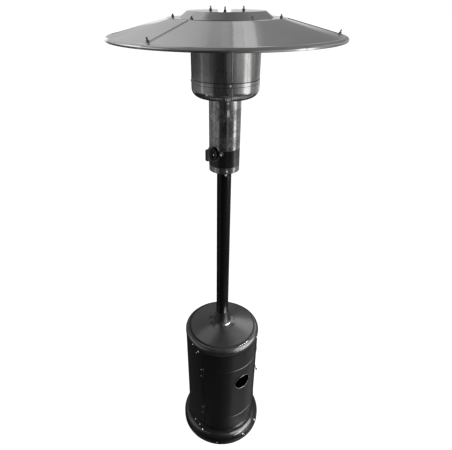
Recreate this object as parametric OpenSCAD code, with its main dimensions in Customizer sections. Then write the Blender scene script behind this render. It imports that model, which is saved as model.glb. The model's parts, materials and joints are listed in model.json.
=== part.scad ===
// Patio heater: a gas burner on a post, with a tank housing below and a dish reflector above.
// Millimetres, +Z up, origin on the floor at the axis. An azimuth turns from the front (-Y)
// towards +X. What is built along +Z by radial() points outwards from the axis.

/* [Base] */
// Diameter of the base at the floor
base_d = 448; // [420:1:500]
// Height of the ledge that carries the housing
base_h = 66; // [50:1:90]
// Height of the straight foot below the curved shoulder
base_foot_h = 24; // [12:1:40]
// Width of the flat ledge outside the housing
base_ledge_w = 4; // [2:0.5:8]
// Rise of the tank floor above the ledge
base_step_h = 12; // [6:1:20]
// Sheet thickness of the base
base_wall = 1.5; // [1:0.1:3]
// Height of the screws in the base's foot
base_screw_z = 16; // [9:1:18]
// Diameter of the vent in the tank floor
base_vent_d = 60; // [30:1:90]

/* [Housing] */
// Outer diameter of the tank housing
shell_d = 380; // [370:1:400]
// Sheet thickness of the housing shell
shell_wall = 1; // [0.7:0.1:2]
// Height of the shell's strip above the door
shell_head_h = 26; // [22:1:60]

/* [Housing cover] */
// Length of the skirt below the top of the shell
skirt_lap = 7; // [4:1:14]
// Rise of the disc's edge above the top of the shell
cover_rise = 26; // [18:1:40]
// Width of the shoulder outside the disc
cover_shoulder_w = 26; // [18:1:40]
// Rise of the disc from its edge to the neck
cover_cone_h = 29; // [4:1:40]
// Height of the flared neck
cover_neck_h = 66; // [50:1:120]
// Diameter of the neck at its foot
cover_neck_d = 92; // [86:1:140]
// Sheet thickness of the cover
cover_wall = 1.2; // [0.8:0.1:2]

/* [Door] */
// Azimuth of the door's middle
door_az = 36; // [0:1:60]
// Angle that the door spans
door_span = 130; // [110:1:140]
// Height of the door
door_h = 604; // [480:1:680]
// Height of the sill between the shell's foot and the door
door_sill_h = 24; // [20:1:60]
// Running gap around the door
door_gap = 2; // [1.5:0.1:4]
// Depth of the door's turned-in edges
door_edge_w = 10; // [6:1:14]
// Sheet thickness of the door
door_wall = 1; // [0.7:0.1:2]
// Distance between the door's two beads
door_bead_pitch = 384; // [300:1:460]

/* [Door hole] */
// Diameter of the hole in the door
hole_d = 90; // [60:1:110]
// Height of the hole above the door's middle
hole_rise = 85; // [60:1:110]
// Width of the trim ring around the hole
trim_w = 7.5; // [5:0.5:12]
// Thickness of the trim ring
trim_t = 1.6; // [1:0.1:3]

/* [Door hinges] */
// Distance between the two hinges
hinge_pitch = 310; // [240:1:400]
// Height of one hinge
hinge_h = 66; // [50:1:90]
// Diameter of a hinge knuckle
knuckle_d = 7; // [6.5:0.1:8]
// Diameter of the hinge pin
hinge_pin_d = 3; // [2:0.1:4]
// Width of a hinge leaf
leaf_w = 20; // [14:1:30]
// Thickness of a hinge leaf
leaf_t = 1.5; // [1:0.1:1.8]

/* [Latch] */
// Length of the latch's lever
lever_l = 24; // [18:1:32]
// Width of the latch's lever
lever_w = 15; // [12:0.5:20]
// Distance from the gap to the lever's pivot
lever_pivot_x = 11; // [9:0.5:14]
// Distance from the lever's pivot to the bail's pivot
bail_pivot_x = 6; // [5.8:0.1:7]
// Distance from the gap to the bail's bar at the keeper
bail_reach = 14; // [12:0.5:18]
// Diameter of the bail's wire
bail_wire_d = 2.2; // [1.6:0.1:2.4]
// Thickness of the latch's sheet
latch_t = 1.5; // [1:0.1:1.8]

/* [Support frame] */
// Width of a support leg
leg_w = 25; // [20:1:32]
// Thickness of a support leg
leg_t = 4; // [3:0.5:6]
// Distance of the legs from the inside of the shell
leg_gap = 6; // [4:0.5:10]
// Length of a leg's foot along the base
leg_foot_l = 34; // [28:1:40]
// Outer radius of a leg's bends
leg_bend_r = 12; // [8:1:20]
// Diameter of the plate that carries the post
flange_d = 150; // [140:1:200]
// Thickness of that plate
flange_t = 6; // [4:0.5:10]
// Distance of that plate below the top of the shell
flange_drop = 30; // [24:1:40]
// Height of the socket on that plate
socket_h = 52; // [40:1:56]
// Wall of that socket
socket_wall = 4; // [3:0.5:6]

/* [Post] */
// Diameter of the post
post_d = 60; // [50:1:64]
// Length of the post
post_l = 916; // [700:1:1100]
// Wall of the post
post_wall = 1.5; // [1:0.1:3]
// Diameter of the gas pipe in the post
pipe_d = 10; // [8:0.5:12]
// Bore of the gas pipe
pipe_bore = 7; // [5:0.5:7]
// Distance that the gas inlet hangs below the post's plate
inlet_drop = 40; // [34:1:50]

/* [Burner column] */
// Diameter of the burner column
column_d = 122; // [116:1:140]
// Height of the collar at the column's foot
collar_h = 22.5; // [18:0.5:30]
// Height of the control section
control_h = 71.5; // [64:0.5:90]
// Height of the upper sleeve
sleeve_h = 192; // [150:1:240]
// Sheet thickness of the column
column_wall = 1; // [0.7:0.1:1.5]
// Azimuth of the control panel's middle
panel_az = -34; // [-40:1:-30]
// Angle that the control panel spans
panel_span = 142; // [120:1:160]
// Thickness of the control panel
panel_t = 1.2; // [0.8:0.1:2]

/* [Controls] */
// Distance of the knob below the top of the control section
valve_drop = 15.5; // [15.5:0.5:26]
// Azimuth of the control knob
knob_az = -46; // [-52:1:-46]
// Diameter of the control knob
knob_d = 52; // [44:1:54]
// Depth of the control knob
knob_h = 30; // [24:1:34]
// Travel of the knob when it is pushed in
knob_travel = 3; // [2:0.5:3.5]
// Diameter of the valve's spindle
spindle_d = 8; // [6:0.5:9]
// Diameter of the valve's plug
plug_d = 16; // [14:0.5:18]
// Azimuth of the igniter button
igniter_az = -10; // [-15:1:-8]
// Travel of the igniter button
igniter_travel = 6; // [4:0.5:7]
// Diameter of the igniter button
igniter_d = 11; // [8:0.5:12]

/* [Burner] */
// Diameter of the burner bowl
bowl_d = 248.4; // [230:0.2:280]
// Height of the burner bowl
bowl_h = 63.5; // [50:0.5:90]
// Radius of the bowl's lower corner
bowl_corner_r = 30; // [16:1:40]
// Sheet thickness of the bowl and the screen
bowl_wall = 1; // [0.7:0.1:2]
// Distance of the crease below the bowl's rim
crease_drop = 13.3; // [9:0.1:18]
// Height of the emitter screen
screen_h = 156.5; // [120:0.5:200]
// Diameter of the burner tube
burner_tube_d = 40; // [30:1:44]
// Diameter of the burner head
burner_head_d = 150; // [130:1:180]
// Number of ports around the burner head
burner_ports = 24; // [12:1:36]

/* [Reflector] */
// Diameter of the reflector
dish_d = 813; // [700:1:900]
// Drop of the dish's cone
cone_drop = 48.5; // [30:0.5:80]
// Width of the lip outside the cone
lip_w = 16.5; // [10:0.5:24]
// Drop of the lip's bend
lip_bend_h = 8; // [5:0.5:12]
// Height of the lip's straight edge
lip_edge_h = 5.4; // [4:0.1:10]
// Sheet thickness of the reflector
dish_wall = 1; // [0.7:0.1:1.5]
// Number of panels in the dish
dish_panels = 3; // [3:1:3]
// Azimuth of the first seam
seam_az = -35; // [-60:1:0]
// Angle that a seam's tongue covers
seam_lap = 1.6; // [1.2:0.1:3]
// Distance of the seam bolts from the edge of the dish's cone
seam_bolt_inset = 10; // [8:0.5:60]

/* [Reflector hat] */
// Outer diameter of the hat's flange
ring_d = 400; // [370:1:460]
// Width of the hat's flange
ring_w = 39.5; // [30:0.5:50]
// Diameter of the hat's flat top
hat_top_d = 266; // [200:1:290]
// Rise of the hat above its flange
hat_rise = 19.2; // [10:0.2:30]
// Distance of the bolts from the edge of the hat's flange
ring_bolt_inset = 17; // [10:0.5:22]
// Number of bolts in the hat's flange
ring_bolts_n = 6; // [6:3:12]
// Radius of the studs that carry the reflector
stud_r = 65; // [50:1:80]
// Azimuth of the first stud
stud_az = -4; // [-30:1:30]
// Height of the spacers between the burner and the hat
spacer_h = 48.4; // [36:0.2:80]

/* [Hidden] */
$fn = 96;

// Overrun of every cut, clearance of a bolt in its hole, of a running pin and between bodies
cut = 1;
bolt_fit = 0.2;
run_fit = 0.05;
lap_fit = 0.1;
body_gap = 0.3;

// Radii of the large round parts
base_r = base_d / 2;
shell_r = shell_d / 2;
shell_in_r = shell_r - shell_wall;
base_ledge_r = shell_r + base_ledge_w;
base_step_r = shell_in_r - body_gap;
post_r = post_d / 2;
column_r = column_d / 2;
column_in_r = column_r - column_wall;
bowl_r = bowl_d / 2;
screen_r = bowl_r - bowl_wall / 2;
dish_r = dish_d / 2;
ring_r = ring_d / 2;
ring_in_r = ring_r - ring_w;

// Heights, stacked from the floor
shell_h = door_sill_h + door_h + shell_head_h;
floor_z = base_h + base_step_h;
shell_top_z = base_h + shell_h;
flange_z = shell_top_z - flange_drop;
post_z = flange_z + flange_t;
column_z = post_z + post_l;
control_z = column_z + collar_h;
sleeve_z = control_z + control_h;
bowl_z = sleeve_z + sleeve_h;
screen_z = bowl_z + bowl_h;
cap_z = screen_z + screen_h;
cap_t = 3;
hat_z = cap_z + cap_t + spacer_h;
ring_z = hat_z + dish_wall - hat_rise;
dish_z = ring_z - dish_wall;

// Bolts, nuts and screws
bolt_r = 2.5;
bolt_hole_r = bolt_r + bolt_fit;
nut_r = 5.2;
nut_h = 4.7;
stud_tip = 8;
flange_bolt_tip = 5;
seam_bolt_tip = 8;
leg_bolt_r = 4;
leg_bolt_hole_r = leg_bolt_r + bolt_fit;
leg_bolt_head_r = 7.5;
leg_bolt_head_h = 5;
hex_fn = 6;
screw_r = 2;
screw_hole_r = screw_r + bolt_fit;
screw_head_r = 4;
screw_head_h = 2.4;
small_head_r = 3.3;
screw_l = 6;

// Points of an arc of an ellipse, from one angle to another
function arc_points(centre, a, b, from, to, steps) =
  [for (i = [0 : steps]) let (t = from + (to - from) * i / steps)
    [centre[0] + a * cos(t), centre[1] + b * sin(t)]];

// Places the children at an azimuth and height, with their +Z outwards
module radial(az, z) {
  rotate([0, 0, az])
    translate([0, 0, z])
      rotate([90, 0, 0])
        children();
}

// Places the children upright at an azimuth, radius and height
module upright(az, r, z) {
  rotate([0, 0, az])
    translate([0, -r, z])
      children();
}

// A straight tube standing on z
module tube(r_out, r_in, z, h) {
  translate([0, 0, z])
    difference() {
      cylinder(h = h, r = r_out);
      translate([0, 0, -cut])
        cylinder(h = h + 2 * cut, r = r_in);
    }
}

// A curved plate between two radii and two azimuths
module sector(r_in, r_out, z, h, az_from, az_to) {
  rotate([0, 0, az_from - 90])
    rotate_extrude(angle = az_to - az_from, $fn = 180)
      translate([r_in, z])
        square([r_out - r_in, h]);
}

// Degrees that a length covers on a radius
function arc_deg(length, r) = length / r * 180 / PI;

// A pan head on z = 0 with its shank below
module pan_screw(head_r = screw_head_r, head_h = screw_head_h, shank_r = screw_r, shank_l = screw_l) {
  dome_share = 0.35;
  neck_h = head_h * (1 - dome_share);
  cylinder(h = neck_h, r = head_r, $fn = 24);
  translate([0, 0, neck_h])
    cylinder(h = head_h * dome_share, r1 = head_r, r2 = head_r * (1 - dome_share), $fn = 24);
  translate([0, 0, -shank_l])
    cylinder(h = shank_l, r = shank_r, $fn = 24);
}

// A hexagon nut on z = 0 round a bolt
module nut(across_r = nut_r, h = nut_h, hole_r = bolt_r + lap_fit) {
  difference() {
    cylinder(h = h, r = across_r, $fn = hex_fn);
    translate([0, 0, -cut])
      cylinder(h = h + 2 * cut, r = hole_r, $fn = 24);
  }
}

// A bolt whose head hangs below a stack of sheets, and whose tip stands above it
module stack_bolt(stack, tip) {
  translate([0, 0, -stack - nut_h])
    cylinder(h = nut_h, r = nut_r, $fn = hex_fn);
  translate([0, 0, -stack])
    cylinder(h = stack + tip, r = bolt_r, $fn = 24);
}

// BASE

base_screw_azs = [-5, 37, 66];
base_wall_in_r = base_r - base_wall;

module base_profile() {
  a = base_r - base_ledge_r;
  b = base_h - base_foot_h;
  steps = 10;
  polygon(concat(
    [[base_r, 0]],
    arc_points([base_ledge_r, base_foot_h], a, b, 0, 90, steps),
    [[base_step_r, base_h],
     [base_step_r, floor_z],
     [0, floor_z],
     [0, floor_z - base_wall],
     [base_step_r - base_wall, floor_z - base_wall],
     [base_step_r - base_wall, base_h - base_wall]],
    arc_points([base_ledge_r, base_foot_h], a - base_wall, b - base_wall, 90, 0, steps),
    [[base_wall_in_r, 0]]));
}

module base_pan() {
  color([0.07, 0.07, 0.075])
    difference() {
      rotate_extrude($fn = 180)
        base_profile();
      for (i = [0 : 2])
        upright(leg_azs[i], leg_bolt_place_r, floor_z - base_wall - cut)
          cylinder(h = base_wall + 2 * cut, r = leg_bolt_hole_r, $fn = 32);
      translate([0, 0, floor_z - base_wall - cut])
        cylinder(h = base_wall + 2 * cut, r = base_vent_d / 2);
      for (az = base_screw_azs)
        radial(az, base_screw_z)
          translate([0, 0, base_wall_in_r - cut])
            cylinder(h = base_wall + 2 * cut, r = screw_hole_r, $fn = 24);
    }
}

module base_screws() {
  color([0.75, 0.75, 0.76])
    for (az = base_screw_azs)
      radial(az, base_screw_z)
        translate([0, 0, base_r])
          pan_screw();
}

// SUPPORT FRAME

leg_margin = 6;
leg_azs = [door_az - door_span / 2 - leg_margin, door_az + door_span / 2 + leg_margin, door_az + 180];
leg_out_r = shell_in_r - leg_gap;
leg_bolt_place_r = leg_out_r - leg_foot_l / 2 - leg_bend_r / 4;
leg_bolt_room = 3.75;
leg_post_bolt_r = post_r + socket_wall + leg_bolt_head_r + leg_bolt_room;

// Side view of one leg: foot, riser and tab, with round bends
module leg_profile() {
  steps = 6;
  out = leg_out_r;
  bend = leg_bend_r;
  inner = bend - leg_t;
  foot_end = out - leg_foot_l;
  tab_end = leg_post_bolt_r - leg_bolt_head_r;
  polygon(concat(
    [[foot_end, floor_z]],
    arc_points([out - bend, floor_z + bend], bend, bend, -90, 0, steps),
    arc_points([out - bend, flange_z - bend], bend, bend, 0, 90, steps),
    [[tab_end, flange_z],
     [tab_end, flange_z - leg_t]],
    arc_points([out - bend, flange_z - bend], inner, inner, 90, 0, steps),
    arc_points([out - bend, floor_z + bend], inner, inner, 0, -90, steps),
    [[foot_end, floor_z + leg_t]]));
}

module support_leg(i) {
  color([0.1, 0.1, 0.105])
    difference() {
      rotate([0, 0, leg_azs[i]])
        translate([leg_w / 2, 0, 0])
          rotate([90, 0, -90])
            linear_extrude(height = leg_w)
              leg_profile();
      upright(leg_azs[i], leg_bolt_place_r, floor_z - cut)
        cylinder(h = leg_t + 2 * cut, r = leg_bolt_hole_r, $fn = 32);
      upright(leg_azs[i], leg_post_bolt_r, flange_z - leg_t - cut)
        cylinder(h = leg_t + 2 * cut, r = leg_bolt_hole_r, $fn = 32);
    }
}

// A leg bolt: head on z = 0, shank down through a stack, nut below it
module leg_bolt(stack) {
  cylinder(h = leg_bolt_head_h, r = leg_bolt_head_r, $fn = hex_fn);
  translate([0, 0, -stack])
    cylinder(h = stack, r = leg_bolt_r, $fn = 24);
  translate([0, 0, -stack - leg_bolt_head_h])
    cylinder(h = leg_bolt_head_h, r = leg_bolt_head_r, $fn = hex_fn);
}

module leg_base_bolts() {
  color([0.6, 0.6, 0.62])
    for (az = leg_azs)
      upright(az, leg_bolt_place_r, floor_z + leg_t)
        leg_bolt(leg_t + base_wall);
}

module leg_post_bolts() {
  color([0.6, 0.6, 0.62])
    for (az = leg_azs)
      upright(az, leg_post_bolt_r, flange_z + flange_t)
        leg_bolt(leg_t + flange_t);
}

pipe_hole_r = pipe_d / 2 + bolt_fit;

module post_foot() {
  color([0.1, 0.1, 0.105])
    difference() {
      union() {
        translate([0, 0, flange_z])
          cylinder(h = flange_t, r = flange_d / 2);
        translate([0, 0, post_z])
          cylinder(h = socket_h, r = post_r + lap_fit + socket_wall);
      }
      translate([0, 0, post_z])
        cylinder(h = socket_h + cut, r = post_r + lap_fit);
      translate([0, 0, flange_z - cut])
        cylinder(h = flange_t + 2 * cut, r = pipe_hole_r, $fn = 48);
      for (az = leg_azs)
        upright(az, leg_post_bolt_r, flange_z - cut)
          cylinder(h = flange_t + 2 * cut, r = leg_bolt_hole_r, $fn = 32);
    }
}

// POST AND GAS PIPE

spigot_l = 50;
spigot_wall = 2.5;
spigot_r = post_r - post_wall - lap_fit;
post_bolt_az = 12.5;
post_bolt_drop = 17;
post_bolt_z = column_z - post_bolt_drop;
post_bolts_n = 3;
pipe_r = pipe_d / 2;
inlet_hex_r = 11;
inlet_hex_h = 12;
inlet_thread_r = 7.9;
inlet_thread_h = 14;
inlet_z = flange_z - inlet_drop;
valve_h = 30;
valve_w = 24;
valve_front = 34;
valve_back = 12;
valve_z = control_z + control_h - valve_drop;
valve_under_z = valve_z - valve_h / 2;

module post_tube() {
  color([0.04, 0.04, 0.045])
    difference() {
      tube(post_r, post_r - post_wall, post_z, post_l);
      post_bolt_cuts();
    }
}

module post_bolt_cuts() {
  for (i = [0 : post_bolts_n - 1])
    radial(post_bolt_az + i * 360 / post_bolts_n, post_bolt_z)
      translate([0, 0, spigot_r - spigot_wall - cut])
        cylinder(h = post_wall + spigot_wall + 2 * cut + lap_fit, r = screw_hole_r, $fn = 24);
}

module post_top_bolts() {
  color([0.75, 0.75, 0.76])
    for (i = [0 : post_bolts_n - 1])
      radial(post_bolt_az + i * 360 / post_bolts_n, post_bolt_z)
        translate([0, 0, post_r])
          pan_screw(shank_l = post_wall + spigot_wall);
}

module gas_supply_pipe() {
  color([0.72, 0.55, 0.3])
    tube(pipe_r, pipe_bore / 2, inlet_z + inlet_hex_h, valve_under_z - inlet_z - inlet_hex_h);
}

module gas_inlet_fitting() {
  color([0.72, 0.58, 0.3])
    difference() {
      union() {
        translate([0, 0, inlet_z])
          cylinder(h = inlet_hex_h, r = inlet_hex_r, $fn = hex_fn);
        translate([0, 0, inlet_z - inlet_thread_h])
          cylinder(h = inlet_thread_h, r = inlet_thread_r);
      }
      translate([0, 0, inlet_z - inlet_thread_h - cut])
        cylinder(h = inlet_hex_h + inlet_thread_h + 2 * cut, r = pipe_bore / 2, $fn = 48);
    }
}

// HOUSING

door_z = base_h + door_sill_h;
door_mid_z = door_z + door_h / 2;
door_from = door_az - door_span / 2;
door_to = door_az + door_span / 2;
gap_deg = arc_deg(door_gap, shell_r);
jamb_t = 1;
jamb_lap_w = 10;
jamb_lap = arc_deg(jamb_lap_w, shell_r);
jamb_r = shell_r - door_edge_w - body_gap;
cover_screw_az = -50;
cover_screws_n = 3;
cover_screw_z = shell_top_z - skirt_lap / 2;

module housing_shell() {
  color([0.05, 0.05, 0.055])
    difference() {
      union() {
        difference() {
          tube(shell_r, shell_in_r, base_h, shell_h);
          sector(shell_in_r - cut, shell_r + cut, door_z - door_gap, door_h + 2 * door_gap,
            door_from - gap_deg, door_to + gap_deg);
        }
        // Jamb behind the latch side: a web and the strip that the door closes on
        sector(jamb_r - jamb_t, shell_in_r + shell_wall / 2, door_z, door_h,
          door_to + gap_deg, door_to + gap_deg + arc_deg(jamb_t, shell_r));
        sector(jamb_r - jamb_t, jamb_r, door_z, door_h,
          door_to + gap_deg - jamb_lap, door_to + gap_deg + arc_deg(jamb_t, shell_r));
      }
      hinge_screw_cuts(shell_in_r);
      for (i = [0 : cover_screws_n - 1])
        radial(cover_screw_az + i * 360 / cover_screws_n, cover_screw_z)
          translate([0, 0, shell_in_r - cut])
            cylinder(h = shell_wall + 2 * cut, r = screw_hole_r, $fn = 24);
    }
}

cover_out_r = shell_r + body_gap + cover_wall;
disc_r = cover_out_r - cover_shoulder_w;
disc_z = shell_top_z + cover_rise;
neck_r = cover_neck_d / 2;
neck_z = disc_z + cover_cone_h;
neck_bore_r = post_r + cut;
groove_d = 4;
bead_r = 3;

// Section of the cover: skirt, shoulder, groove, beaded disc edge, cone and flared neck
module cover_profile() {
  w = cover_wall;
  steps = 8;
  groove_z = disc_z - bead_r - groove_d;
  shoulder_z = shell_top_z + w;
  shoulder_a = cover_out_r - disc_r - 2 * bead_r;
  shoulder_b = groove_z - shoulder_z;
  shoulder_r = disc_r + 2 * bead_r;
  flare_a = neck_r - neck_bore_r - w;
  polygon(concat(
    [[cover_out_r, shell_top_z - skirt_lap]],
    arc_points([shoulder_r, shoulder_z], shoulder_a, shoulder_b, 0, 90, steps),
    arc_points([disc_r, disc_z - bead_r], bead_r, bead_r, -30, 90, steps),
    arc_points([neck_r, neck_z + cover_neck_h], flare_a, cover_neck_h, 270, 180, steps),
    arc_points([neck_r, neck_z + cover_neck_h], flare_a + w, cover_neck_h + w, 180, 270, steps),
    [[disc_r - bead_r, disc_z - w],
     [disc_r, groove_z - w],
     [shoulder_r, groove_z - w]],
    arc_points([shoulder_r, shoulder_z - w], shoulder_a - w, shoulder_b, 90, 0, steps),
    [[cover_out_r - w, shell_top_z - skirt_lap]]));
}

module housing_cover() {
  color([0.09, 0.09, 0.095])
    difference() {
      rotate_extrude($fn = 180)
        cover_profile();
      for (i = [0 : cover_screws_n - 1])
        radial(cover_screw_az + i * 360 / cover_screws_n, cover_screw_z)
          translate([0, 0, shell_r])
            cylinder(h = cover_wall + cut, r = screw_hole_r, $fn = 24);
    }
}

module cover_screws() {
  color([0.75, 0.75, 0.76])
    for (i = [0 : cover_screws_n - 1])
      radial(cover_screw_az + i * 360 / cover_screws_n, cover_screw_z)
        translate([0, 0, cover_out_r])
          pan_screw(head_r = small_head_r);
}

// DOOR

bead_r_door = 2;
bead_margin = 12;

module door_panel() {
  edge_deg = arc_deg(door_wall, shell_r);
  color([0.06, 0.06, 0.065])
    difference() {
      union() {
        difference() {
          sector(shell_r - door_edge_w, shell_r, door_z, door_h, door_from, door_to);
          sector(shell_r - door_edge_w - cut, shell_r - door_wall,
            door_z + door_wall, door_h - 2 * door_wall, door_from + edge_deg, door_to - edge_deg);
        }
        // Pressed beads above and below the middle
        for (side = [-1, 1])
          rotate([0, 0, door_from + bead_margin - 90])
            rotate_extrude(angle = door_span - 2 * bead_margin, $fn = 180)
              translate([shell_r, door_mid_z + side * door_bead_pitch / 2])
                difference() {
                  circle(r = bead_r_door, $fn = 24);
                  translate([-2 * bead_r_door - door_wall / 2, -bead_r_door - cut])
                    square([2 * bead_r_door, 2 * bead_r_door + 2 * cut]);
                }
      }
      radial(door_az, door_mid_z + hole_rise)
        translate([0, 0, shell_r - door_edge_w])
          cylinder(h = 2 * door_edge_w, r = hole_d / 2);
    }
}

module door_hole_trim() {
  color([0.12, 0.12, 0.125])
    intersection() {
      sector(shell_r, shell_r + trim_t, door_z, door_h, door_from, door_to);
      radial(door_az, door_mid_z + hole_rise)
        translate([0, 0, shell_r - door_edge_w])
          difference() {
            cylinder(h = 2 * door_edge_w, r = hole_d / 2 + trim_w);
            translate([0, 0, -cut])
              cylinder(h = 2 * door_edge_w + 2 * cut, r = hole_d / 2);
          }
    }
}

// HINGES

hinge_az = door_from - gap_deg / 2;
knuckle_r = knuckle_d / 2;
pin_place_r = shell_r + knuckle_r + body_gap;
leaf_deg = arc_deg(leaf_w, shell_r);
leaf_screw_share = 0.59;
hinge_screw_share = 0.37;
hinge_screw_deg = arc_deg(leaf_w * leaf_screw_share, shell_r);
hinge_screw_z = hinge_h * hinge_screw_share;
knuckle_share = 1 / 3;
knuckle_gap = 0.4;
hinge_bore_r = hinge_pin_d / 2 + run_fit;
hinge_zs = [for (side = [-1, 1]) door_mid_z + side * hinge_pitch / 2 - hinge_h / 2];
pin_head_h = 2;
pin_head_share = 0.8;

// Screw holes of the fixed leaves, from a radius outwards
module hinge_screw_cuts(from_r) {
  for (z = hinge_zs)
    for (dz = [-1, 1])
      radial(hinge_az - hinge_screw_deg, z + hinge_h / 2 + dz * hinge_screw_z)
        translate([0, 0, from_r - cut])
          cylinder(h = leaf_t + shell_wall + 3 * cut, r = screw_hole_r, $fn = 24);
}

// One stretch of a knuckle, or of the space that it takes
module knuckle(z, h, r) {
  upright(hinge_az, pin_place_r, z)
    cylinder(h = h, r = r, $fn = 32);
}

// A leaf with its knuckles, cut away where the other leaf's knuckles turn
module hinge_leaf(side, z0) {
  third = hinge_h * knuckle_share;
  fixed = side < 0;
  side_l = third - knuckle_gap;
  own = fixed ? [[0, side_l], [hinge_h - side_l, side_l]] : [[third, third]];
  other = fixed ? [[side_l, third + 2 * knuckle_gap]] : [[-cut, third + cut], [2 * third, third + cut]];
  difference() {
    union() {
      difference() {
        sector(shell_r, shell_r + leaf_t, z0, hinge_h,
          hinge_az + min(0, side * leaf_deg), hinge_az + max(0, side * leaf_deg));
        for (k = other)
          knuckle(z0 + k[0], k[1], knuckle_r + body_gap);
      }
      for (k = own)
        knuckle(z0 + k[0], k[1], knuckle_r);
    }
    knuckle(z0 - cut, hinge_h + 2 * cut, hinge_bore_r);
    if (fixed)
      hinge_screw_cuts(shell_r);
  }
}

module hinge_fixed_leaves() {
  color([0.08, 0.08, 0.085])
    for (z = hinge_zs)
      hinge_leaf(-1, z);
}

module hinge_door_leaves() {
  color([0.08, 0.08, 0.085])
    for (z = hinge_zs)
      hinge_leaf(1, z);
}

module hinge_pins() {
  color([0.6, 0.6, 0.62])
    for (z = hinge_zs)
      upright(hinge_az, pin_place_r, z) {
        cylinder(h = hinge_h, r = hinge_pin_d / 2, $fn = 32);
        translate([0, 0, hinge_h])
          cylinder(h = pin_head_h, r = knuckle_r * pin_head_share, $fn = 32);
      }
}

module hinge_screws() {
  color([0.75, 0.75, 0.76])
    for (z = hinge_zs)
      for (dz = [-1, 1])
        radial(hinge_az - hinge_screw_deg, z + hinge_h / 2 + dz * hinge_screw_z)
          translate([0, 0, shell_r + leaf_t])
            pan_screw(head_r = small_head_r, shank_l = leaf_t + shell_wall + cut);
}

// LATCH: a draw latch on the door, its wire bail behind the hook of a keeper on the shell

latch_az = door_to + gap_deg / 2;
latch_z = door_mid_z;
latch_plate_from = 8;
latch_base_margin = 8;
latch_base_h = lever_w + 2 * latch_base_margin;
pivot_rise = 6;
over_centre = 1.8;
lever_pivot_out = shell_r + pivot_rise;
bail_pivot_out = lever_pivot_out - over_centre;
lever_barrel_r = 2.8;
latch_pin_r = 1.5;
ear_r = 3.8;
ear_gap = 1;
ear_in = lever_w / 2 + ear_gap;
bail_r = bail_wire_d / 2;
bail_half = ear_in + latch_t + body_gap + bail_r + lap_fit;
keeper_margin = 1;
keeper_w = lever_w - keeper_margin;
// How far the bail draws back as the lever passes its centre
draw_back = sqrt(pow(bail_pivot_x, 2) + pow(over_centre, 2)) - bail_pivot_x;
keeper_face_x = bail_reach - bail_r - body_gap - draw_back;
keeper_out = bail_pivot_out + bail_r + latch_t;
curl_r = 4.5;
curl_deg = 150;
lug_r = 2.3;
lever_out = bail_pivot_out + bail_r + body_gap + latch_t;

// Places the children at the gap beside the latch: +X along the shell away from the door
module at_latch() {
  rotate([0, 0, latch_az])
    translate([0, 0, latch_z])
      children();
}

// An upright cylinder at a place beside the gap, centred on the latch's height
module latch_rod(x, out, r, half_l) {
  translate([x, -out, -half_l])
    cylinder(h = 2 * half_l, r = r, $fn = 32);
}

module latch_base() {
  from_deg = arc_deg(lever_l + latch_plate_from / 2, shell_r);
  to_deg = arc_deg(door_gap, shell_r);
  color([0.62, 0.62, 0.64])
    difference() {
      union() {
        sector(shell_r, shell_r + latch_t, latch_z - latch_base_h / 2, latch_base_h,
          latch_az - from_deg, latch_az - to_deg);
        at_latch()
          for (side = [-1, 1])
            translate([0, 0, side > 0 ? ear_in : -ear_in - latch_t])
              linear_extrude(height = latch_t) {
                translate([-lever_pivot_x, -lever_pivot_out])
                  circle(r = ear_r, $fn = 32);
                translate([-lever_pivot_x - ear_r, -lever_pivot_out])
                  square([2 * ear_r, lever_pivot_out - shell_r - latch_t / 4]);
              }
      }
      at_latch()
        latch_rod(-lever_pivot_x, lever_pivot_out, latch_pin_r + lap_fit / 2, latch_base_h);
    }
}

module latch_pin() {
  color([0.6, 0.6, 0.62])
    at_latch()
      latch_rod(-lever_pivot_x, lever_pivot_out, latch_pin_r, ear_in + latch_t);
}

module latch_lever() {
  arm_from = latch_az - arc_deg(lever_pivot_x + lever_l, shell_r);
  arm_to = latch_az - arc_deg(lever_pivot_x, shell_r);
  color([0.1, 0.1, 0.105])
    difference() {
      union() {
        sector(lever_out - latch_t, lever_out, latch_z - lever_w / 2, lever_w, arm_from, arm_to);
        // Curled tip that the finger lifts
        rotate([0, 0, arm_from - latch_az])
          at_latch()
            translate([0, -lever_out - curl_r + latch_t, -lever_w / 2])
              rotate([0, 0, 90])
                rotate_extrude(angle = curl_deg, $fn = 48)
                  translate([curl_r - latch_t, 0])
                    square([latch_t, lever_w]);
        at_latch() {
          latch_rod(-lever_pivot_x, lever_pivot_out, lever_barrel_r, lever_w / 2);
          for (side = [-1, 1])
            translate([0, 0, side > 0 ? lever_w / 2 - latch_t : -lever_w / 2])
              linear_extrude(height = latch_t) {
                translate([-lever_pivot_x - bail_pivot_x, -bail_pivot_out])
                  circle(r = lug_r, $fn = 32);
                translate([-lever_pivot_x - bail_pivot_x - lug_r, -lever_out + latch_t / 2])
                  square([2 * lug_r, lever_out - latch_t / 2 - bail_pivot_out]);
              }
        }
      }
      at_latch() {
        latch_rod(-lever_pivot_x, lever_pivot_out, latch_pin_r + run_fit, lever_w);
        latch_rod(-lever_pivot_x - bail_pivot_x, bail_pivot_out, bail_r + run_fit, lever_w);
      }
    }
}

module latch_bail() {
  x0 = -lever_pivot_x - bail_pivot_x;
  stub_in = lever_w / 2 - latch_t;
  color([0.7, 0.7, 0.72])
    at_latch() {
      for (side = [-1, 1]) {
        translate([x0, -bail_pivot_out, side > 0 ? stub_in : -bail_half])
          cylinder(h = bail_half - stub_in, r = bail_r, $fn = 24);
        translate([x0, -bail_pivot_out, side * bail_half])
          sphere(r = bail_r, $fn = 24);
        translate([x0, -bail_pivot_out, side * bail_half])
          rotate([0, 90, 0])
            cylinder(h = bail_reach - x0, r = bail_r, $fn = 24);
        translate([bail_reach, -bail_pivot_out, side * bail_half])
          sphere(r = bail_r, $fn = 24);
      }
      latch_rod(bail_reach, bail_pivot_out, bail_r, bail_half);
    }
}

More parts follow.
